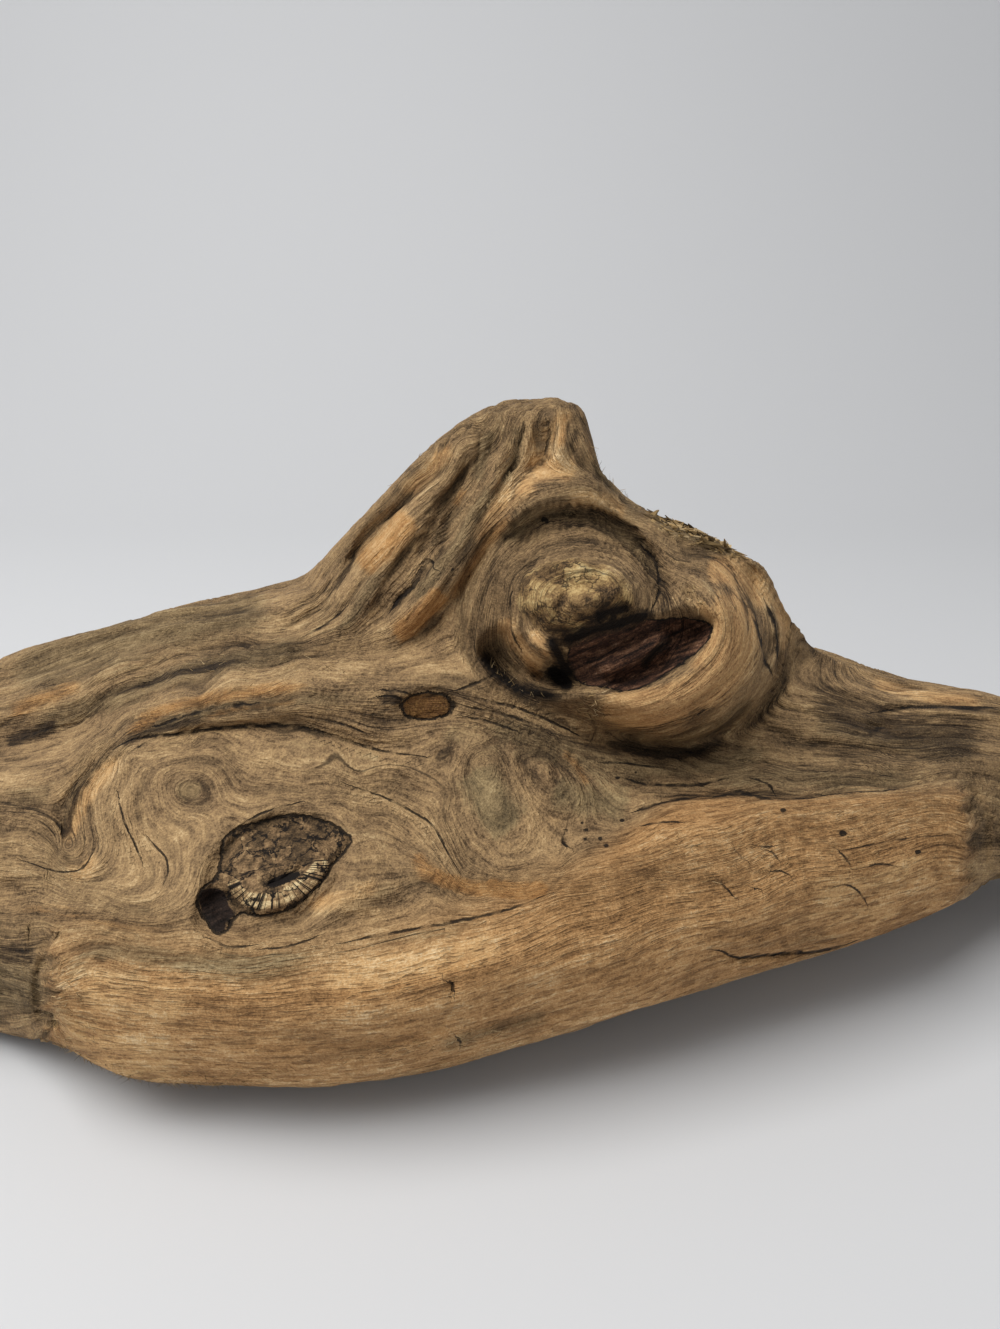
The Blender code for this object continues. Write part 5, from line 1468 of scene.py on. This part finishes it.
def small_knot(tree, w, body):
    """The small knot: a brown plug, and where its black rim is."""
    offset = add(tree, "VectorMath SUBTRACT", w.seen, (*on_drawing(SMALL_KNOT), 1.0))
    half = (1.0 / PIXEL / SMALL_KNOT_HALF[0], 1.0 / PIXEL / SMALL_KNOT_HALF[1], 1.0)
    reach = add(tree, "VectorMath LENGTH", add(tree, "VectorMath MULTIPLY", offset, half))
    plug = add(tree, "ValToRGB", weigh(tree, 0.5, (w.fuzz, 1.0), (w.streaks, 0.6)), stops=(
        (0.1, "#3a2614"), (0.5, "#6e4d2b"), (0.9, "#94703f")))
    body = add(tree, "Mix RGBA", add(tree, "MapRange SMOOTHSTEP", reach, 1.0, 0.92), body, plug)
    rim = add(tree, "Math SUBTRACT", weigh(tree, reach, (w.fuzz, 0.15), (w.crumbs, 0.35)), 1.0)
    return body, add(tree, "MapRange SMOOTHSTEP", add(tree, "Math ABSOLUTE", rim), 0.12, 0.03)


# Shades from furrows to ridges. Each painted patch has its amount, where its edge frays, and its shades
BARE_SHADES = ((0.0, "#2b2117"), (0.25, "#58452f"), (0.5, "#8a7050"), (0.72, "#a68860"), (1.0, "#c9ac80"))
SLAB_SHADES = ((0.0, "#4c3520"), (0.25, "#83603a"), (0.5, "#a87f52"), (0.72, "#c19867"), (1.0, "#dfc194"))
PATCHES = {
    "pale": (0.7, (0.25, 0.8), ((0.0, "#8a7350"), (0.5, "#b0946a"), (1.0, "#dcc79c"))),
    "green": (0.6, (0.25, 0.8), ((0.0, "#3a3422"), (0.4, "#655a40"), (0.7, "#857655"), (1.0, "#a69872"))),
    "grey": (0.7, (0.25, 0.8), ((0.0, "#2a2318"), (0.35, "#54452f"), (0.6, "#776548"), (1.0, "#a08b67"))),
    "golden": (0.9, (0.15, 0.6), ((0.0, "#6e4d2a"), (0.35, "#b0875a"), (0.65, "#cba36f"), (1.0, "#e6c99c"))),
    "orange": (0.75, (0.25, 0.8), ((0.0, "#5e3c1e"), (0.4, "#98693a"), (0.7, "#b6864f"), (1.0, "#cfa673"))),
}
# Colours of the painted shade
PAINTED_SHADE_COLOURS = ((0.0, "#0d0906"), (0.4, "#241a11"), (0.7, "#3f3020"), (1.0, "#705a3e"))


def weathered_wood(name, with_knot=False, with_burl=False):
    """Bare wood, worn by sea and sun: tan ridges, grey furrows, dark checks and rot, with painted shade in
    its grooves, folds and crevices. Dry and dull.
    """
    material = bpy.data.materials.new(name)
    material.use_nodes = True
    tree = material.node_tree
    shader = tree.nodes["Principled BSDF"]
    w = wood_lines(tree)
    crack = traced_cracks(tree, w)
    pits = add(tree, "Math MULTIPLY", add(tree, "MapRange SMOOTHSTEP", w.dashes, 0.56, 0.68),
               add(tree, "Math MULTIPLY_ADD", w.slab, 0.8, 0.2))

    # Tone along the grain
    tone = weigh(tree, 0.58, (w.bands, 0.7), (w.ridges, 0.5), (w.streaks, 0.7), (w.fibres, 0.65),
                 (w.blotches, 0.55), (w.crumbs, 0.55), (w.fuzz, 0.7))
    tone = add(tree, "Math MULTIPLY_ADD", growth_rings(tree, w), -0.13, tone)
    body = add(tree, "Mix RGBA", w.slab, add(tree, "ValToRGB", tone, stops=BARE_SHADES),
               add(tree, "ValToRGB", tone, stops=SLAB_SHADES))

    def frayed(mask, low, high):
        """A painted mask with an edge that frays along the grain."""
        ragged = weigh(tree, mask, (w.streaks, 0.7), (w.bands, 0.4), (w.fibres, 0.5))
        return add(tree, "MapRange SMOOTHSTEP", ragged, low, high)

    def patch(below, mask, amount, shades):
        return add(tree, "Mix RGBA", add(tree, "Math MULTIPLY", mask, amount), below,
                   add(tree, "ValToRGB", tone, stops=shades))

    for paint_name, (amount, edge, shades) in PATCHES.items():
        body = patch(body, frayed(getattr(w, paint_name), *edge), amount, shades)
    body = add(tree, "Mix RGBA", add(tree, "Math MULTIPLY", pits, 0.45), body, colour("#72502f"))
    # Painted shade in the grooves between the ridges, deeper where the grain is furrowed deeper
    groove_shade = add(tree, "Math MULTIPLY", add(tree, "MapRange SMOOTHSTEP", w.ridges, 0.5, 0.3),
                  add(tree, "Math MULTIPLY_ADD", w.furrow, 0.35, 0.15))
    body = add(tree, "Mix RGBA", groove_shade, body, colour("#33281a"))

    if with_burl:
        body = eye_knot(tree, w, body, frayed(w.eye, 0.3, 0.7))
        body = rotted_mouth(tree, w, body, rot_threads(tree, w))
    if with_knot:
        body, rim = checked_knot(tree, w, body, rot_threads(tree, w))
        crack = add(tree, "Math MAXIMUM", crack, rim)

    # Painted shade in the folds, crevices and hollows, broken by the fibres, and painted black where it is
    # deepest
    lines = weigh(tree, 0.5, (w.fibres, 1.6), (w.streaks, 1.2))
    shade = add(tree, "Math MULTIPLY_ADD", w.dark, 1.3, add(tree, "Math MULTIPLY", lines, -0.6))
    shade = add(tree, "MapRange SMOOTHSTEP", weigh(tree, shade, (w.crumbs, 0.9)), 0.0, 0.6)
    black = weigh(tree, w.dark, (w.crumbs, 0.8), (w.fibres, 0.3))
    black = add(tree, "MapRange SMOOTHSTEP", black, 0.85, 1.1)
    body = patch(body, shade, 0.85, PAINTED_SHADE_COLOURS)
    body = add(tree, "Mix RGBA", add(tree, "Math MULTIPLY", black, 0.9), body, colour("#0d0806"))

    body, rim = small_knot(tree, w, body)
    crack = add(tree, "Math MAXIMUM", crack, rim)
    checks = add(tree, "Math MULTIPLY", open_checks(tree, w), 0.75)
    dark = add(tree, "Math MAXIMUM", add(tree, "Math MAXIMUM", crack, checks), round_holes(tree, w))
    body = add(tree, "Mix RGBA", add(tree, "Math MULTIPLY", dark, 0.93), body, colour("#140e09"))

    # Heights in millimetres, for the light to catch
    depth = add(tree, "Math MULTIPLY_ADD", w.furrow, 1.3, 0.6)
    deep_streaks = add(tree, "Math MULTIPLY", w.streaks, depth)
    height = 0.0
    heights = ((w.ridges, 1.2), (deep_streaks, 1.2), (w.fibres, 0.65), (w.crumbs, 1.0), (w.fuzz, 0.3))
    for value, amount in (*heights, (crack, -1.1), (pits, -0.5)):
        height = add(tree, "Math MULTIPLY_ADD", value, amount, height)
    bump = add(tree, "Bump", inputs={"Strength": 1.0, "Distance": MM, "Height": height})
    tree.links.new(bump, shader.inputs["Normal"])
    tree.links.new(body, shader.inputs["Base Color"])
    shader.inputs["Roughness"].default_value = 0.88
    shader.inputs["Specular IOR Level"].default_value = 0.25
    return material


wood = wood_mesh("driftwood_weathered")
for name, values in MARKS.items():
    ends = np.stack((values[:FINE_ROUND].mean(axis=0), values[-FINE_ROUND:].mean(axis=0)))
    stored = wood.data.attributes.new(name, "FLOAT_VECTOR", "POINT")
    stored.data.foreach_set("vector", np.concatenate((values, ends)).astype(np.float32).ravel())
through_nodes(wood, furrow_tree(), {
    "Wobble": WOBBLE, "Band Height": BAND_HEIGHT, "Ridge Height": RIDGE_HEIGHT, "Lump Height": LUMP_HEIGHT,
    "Material": weathered_wood("weathered_wood_grain"),
    "Knot Material": weathered_wood("weathered_wood_with_a_checked_knot", with_knot=True),
    "Burl Material": weathered_wood("weathered_wood_with_rotten_bark", with_burl=True),
})
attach(wood, "root")
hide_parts("driftwood")

# Loose fibres and splinters
# Where the wood is torn, single fibres stand up from its edges, and short splinters from its crust.
# They are thin strands of the same wood, frayed by the sea and bleached by the sun.
FIBRE_SEED = 7
FIBRE_ROOT = 0.25
FIBRE_BEND = 0.0009
FIBRE_SIDES = 5
SWAY_SCALE = 500.0
# Each row: how many, half width of the band in pixels, lift off the surface, stray, length and half thickness
# in millimetres, then the path in pixels
FIBRES = (
    (420, 8, 0.55, 0.5, 2.2, 0.07, (46, 995), (54, 1035), (90, 1066), (150, 1076), (230, 1076), (330, 1062)),
    (160, 6, 0.35, 0.4, 2.6, 0.07, (330, 1062), (430, 1045), (520, 1024)),
    (36, 6, 0.8, 0.6, 2.4, 0.06, (590, 425), (598, 462), (612, 490), (634, 508)),
    (200, 9, 0.25, 0.35, 2.4, 0.36, (642, 516), (680, 528), (712, 540), (745, 558)),
    (110, 9, 0.12, 0.3, 4.2, 0.75, (640, 514), (680, 526), (712, 538), (748, 558)),
    (40, 7, 0.15, 0.3, 2.6, 0.12, (560, 405), (480, 420), (420, 455), (360, 520), (320, 570)),
    (80, 7, 0.4, 0.5, 2.4, 0.12, (574, 700), (600, 712), (590, 690), (566, 694)),
    (70, 6, 0.6, 0.8, 2.0, 0.10, (684, 582), (694, 598), (690, 612)),
    (60, 5, 0.8, 0.8, 2.6, 0.06, (490, 655), (515, 682), (545, 692)),
    (200, 22, 0.3, 0.5, 2.4, 0.08, (60, 945), (60, 1000), (90, 1050)),
    (260, 26, 0.25, 0.4, 2.6, 0.08, (640, 870), (760, 850), (900, 830)),
    (200, 26, 0.25, 0.4, 2.6, 0.08, (120, 700), (260, 680), (380, 690)),
)


def grain_way(points, level):
    """The way along the grain at each point: where the level doesn't change."""
    rows = points.reshape(DENSE_STATIONS, FINE_ROUND, 3)
    heights = level.reshape(DENSE_STATIONS, FINE_ROUND)
    along, over = np.gradient(rows, axis=0), np.gradient(rows, axis=1)
    rise_along, rise_over = np.gradient(heights, axis=0), np.gradient(heights, axis=1)
    way = along * rise_over[..., None] - over * rise_along[..., None]
    return (way / (np.linalg.norm(way, axis=2, keepdims=True) + 1e-9)).reshape(-1, 3)


def fibre_tree():
    """Sets a thin tapered strand on each vertex, the way that the vertex says, and bends it a little."""
    tree, given, end = surface_tree("loose fibres", {"Bend": "Float", "Sides": "Int", "Material": "Material"})
    strand = add(tree, "GeometryNodeMeshCone", inputs={
        "Vertices": given["Sides"], "Side Segments": 3,
        "Radius Top": 0.15, "Radius Bottom": 1.0, "Depth": 1.0})
    lie = add(tree, "GeometryNodeInputNamedAttribute FLOAT_VECTOR", "lie")
    size = add(tree, "GeometryNodeInputNamedAttribute FLOAT_VECTOR", "size")
    turned = add(tree, "FunctionNodeAlignRotationToVector", inputs={"Vector": lie}, axis="Z")
    strands = add(tree, "GeometryNodeInstanceOnPoints", inputs={
        "Points": given["Geometry"], "Instance": strand, "Rotation": turned, "Scale": size})
    whole = add(tree, "GeometryNodeRealizeInstances", strands)
    sway = add(tree, "TexNoise", add(tree, "GeometryNodeInputPosition"), SWAY_SCALE, 1.0, output="Color")
    sway = add(tree, "VectorMath SUBTRACT", sway, (0.5, 0.5, 0.5))
    sway = add(tree, "VectorMath SCALE", sway, given["Bend"])
    bent = add(tree, "GeometryNodeSetPosition", inputs={"Geometry": whole, "Offset": sway})
    tree.links.new(add(tree, "GeometryNodeSetMaterial", bent, True, given["Material"]), end)
    return tree


def loose_fibre():
    """Single fibres of the same wood, bleached on some and grey on others. Dry and dull."""
    material = bpy.data.materials.new("loose_wood_fibre")
    material.use_nodes = True
    tree = material.node_tree
    shader = tree.nodes["Principled BSDF"]
    bleach = add(tree, "Attribute", output="Fac", attribute_name="bleach")
    tint = add(tree, "ValToRGB", bleach, stops=(
        (0.0, "#3f3120"), (0.35, "#75603f"), (0.75, "#a98c60"), (1.0, "#cdb48a")))
    tree.links.new(tint, shader.inputs["Base Color"])
    shader.inputs["Roughness"].default_value = 0.9
    shader.inputs["Specular IOR Level"].default_value = 0.2
    return material


def strand_roots(wood):
    """Where the fibres stand, the way each lies, its size, and how bleached it is."""
    chance = np.random.default_rng(FIBRE_SEED)
    skin = np.zeros(len(wood.data.vertices) * 3)
    wood.data.vertices.foreach_get("co", skin)
    skin = skin.reshape(-1, 3)[:len(points)]
    out = np.array([tuple(corner.vector) for corner in wood.data.vertex_normals])[:len(points)]
    way = grain_way(points, level)
    rows = []
    for count, half_width, lift, stray, length, half, *path in FIBRES:
        near = stroke_field(drawn, on_drawing(path), half_width * PIXEL) * facing
        chosen = chance.choice(np.flatnonzero(near > 0.25), count)
        side = np.where(chance.random(count) < 0.5, -1.0, 1.0)[:, None]
        lie = way[chosen] * side + out[chosen] * lift + chance.normal(0.0, 0.5, (count, 3)) * stray
        long = length * chance.uniform(0.4, 1.5, count)
        thick = half * chance.uniform(0.6, 1.6, count)
        size = np.column_stack((thick, 0.7 * thick, long)) * MM
        root = skin[chosen] - out[chosen] * FIBRE_ROOT * MM
        rows.append(np.column_stack((root, lie, size, chance.random(count))))
    return np.concatenate(rows)


roots = strand_roots(wood)
mesh = bpy.data.meshes.new("loose_fibres")
mesh.from_pydata(roots[:, :3].tolist(), [], [])
for name, values in (("lie", roots[:, 3:6]), ("size", roots[:, 6:9])):
    stored = mesh.attributes.new(name, "FLOAT_VECTOR", "POINT")
    stored.data.foreach_set("vector", values.astype(np.float32).ravel())
mesh.attributes.new("bleach", "FLOAT", "POINT").data.foreach_set("value", roots[:, 9].astype(np.float32))
fibres = bpy.data.objects.new("loose_fibres", mesh)
bpy.context.scene.collection.objects.link(fibres)
through_nodes(fibres, fibre_tree(), {"Bend": FIBRE_BEND, "Sides": FIBRE_SIDES, "Material": loose_fibre()})
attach(fibres, "root")

# The camera
# It stands where the drawing's eye is, and looks down on the wood as the photograph does.
SENSOR = 36.0
PHOTO_HEIGHT = 1329.0
camera = bpy.data.objects.new("camera", bpy.data.cameras.new("camera"))
camera.location = EYE * MM
camera.rotation_euler = (math.radians(90.0) - EYE_PITCH, 0.0, 0.0)
camera.data.sensor_fit = "AUTO"
camera.data.sensor_width = SENSOR
camera.data.lens = SENSOR * (DRAWING_DISTANCE / PIXEL) / PHOTO_HEIGHT
camera.data.clip_start = 0.01
bpy.context.scene.collection.objects.link(camera)
bpy.context.scene.camera = camera

# The table and the wall
# One sheet of white paper, which curves up behind the wood. Soft daylight comes from the upper left.
HALF_WIDTH = 3.0
TABLE_FRONT = -1.2
BEND_START = 0.45
BEND_RADIUS = 0.50
BEND_STEPS = 32
WALL_TOP = 2.4
turns = np.linspace(0.0, math.pi / 2.0, BEND_STEPS + 1)
profile = [(TABLE_FRONT, 0.0)]
profile += [(BEND_START + BEND_RADIUS * math.sin(a), BEND_RADIUS * (1.0 - math.cos(a))) for a in turns]
profile += [(BEND_START + BEND_RADIUS, WALL_TOP)]
corners = [(side * HALF_WIDTH, y, z) for y, z in profile for side in (-1, 1)]
strips = [(2 * i, 2 * i + 1, 2 * i + 3, 2 * i + 2) for i in range(len(profile) - 1)]
mesh = bpy.data.meshes.new("paper backdrop")
mesh.from_pydata(corners, [], strips)
mesh.shade_smooth()
sheet = bpy.data.objects.new("paper backdrop", mesh)
bpy.context.scene.collection.objects.link(sheet)
paper = bpy.data.materials.new("white_paper")
paper.use_nodes = True
shader = paper.node_tree.nodes["Principled BSDF"]
shader.inputs["Base Color"].default_value = colour("#cecfd1")
shader.inputs["Roughness"].default_value = 0.7
mesh.materials.append(paper)

# A soft window at the upper left, which looks at the middle of the wood, and the dim room round it
WINDOW_PLACE = (-0.45, -0.30, 1.2)
WINDOW_SIZE = 0.9
WINDOW_POWER = 16.3
WINDOW_TINT = (1.0, 0.99, 0.97)
LIT_POINT = (0.0, 0.0, 0.06)
ROOM_TINT = (0.97, 0.98, 1.0, 1.0)
ROOM_STRENGTH = 0.43
window = bpy.data.objects.new("window", bpy.data.lights.new("window", "AREA"))
window.data.size = WINDOW_SIZE
window.data.energy = WINDOW_POWER
window.data.color = WINDOW_TINT
window.location = WINDOW_PLACE
window.rotation_euler = (Vector(LIT_POINT) - Vector(WINDOW_PLACE)).to_track_quat("-Z", "Y").to_euler()
bpy.context.scene.collection.objects.link(window)
world = bpy.data.worlds.new("room")
world.use_nodes = True
world.node_tree.nodes["Background"].inputs["Color"].default_value = ROOM_TINT
world.node_tree.nodes["Background"].inputs["Strength"].default_value = ROOM_STRENGTH
bpy.context.scene.world = world
bpy.context.scene.view_settings.view_transform = "Standard"
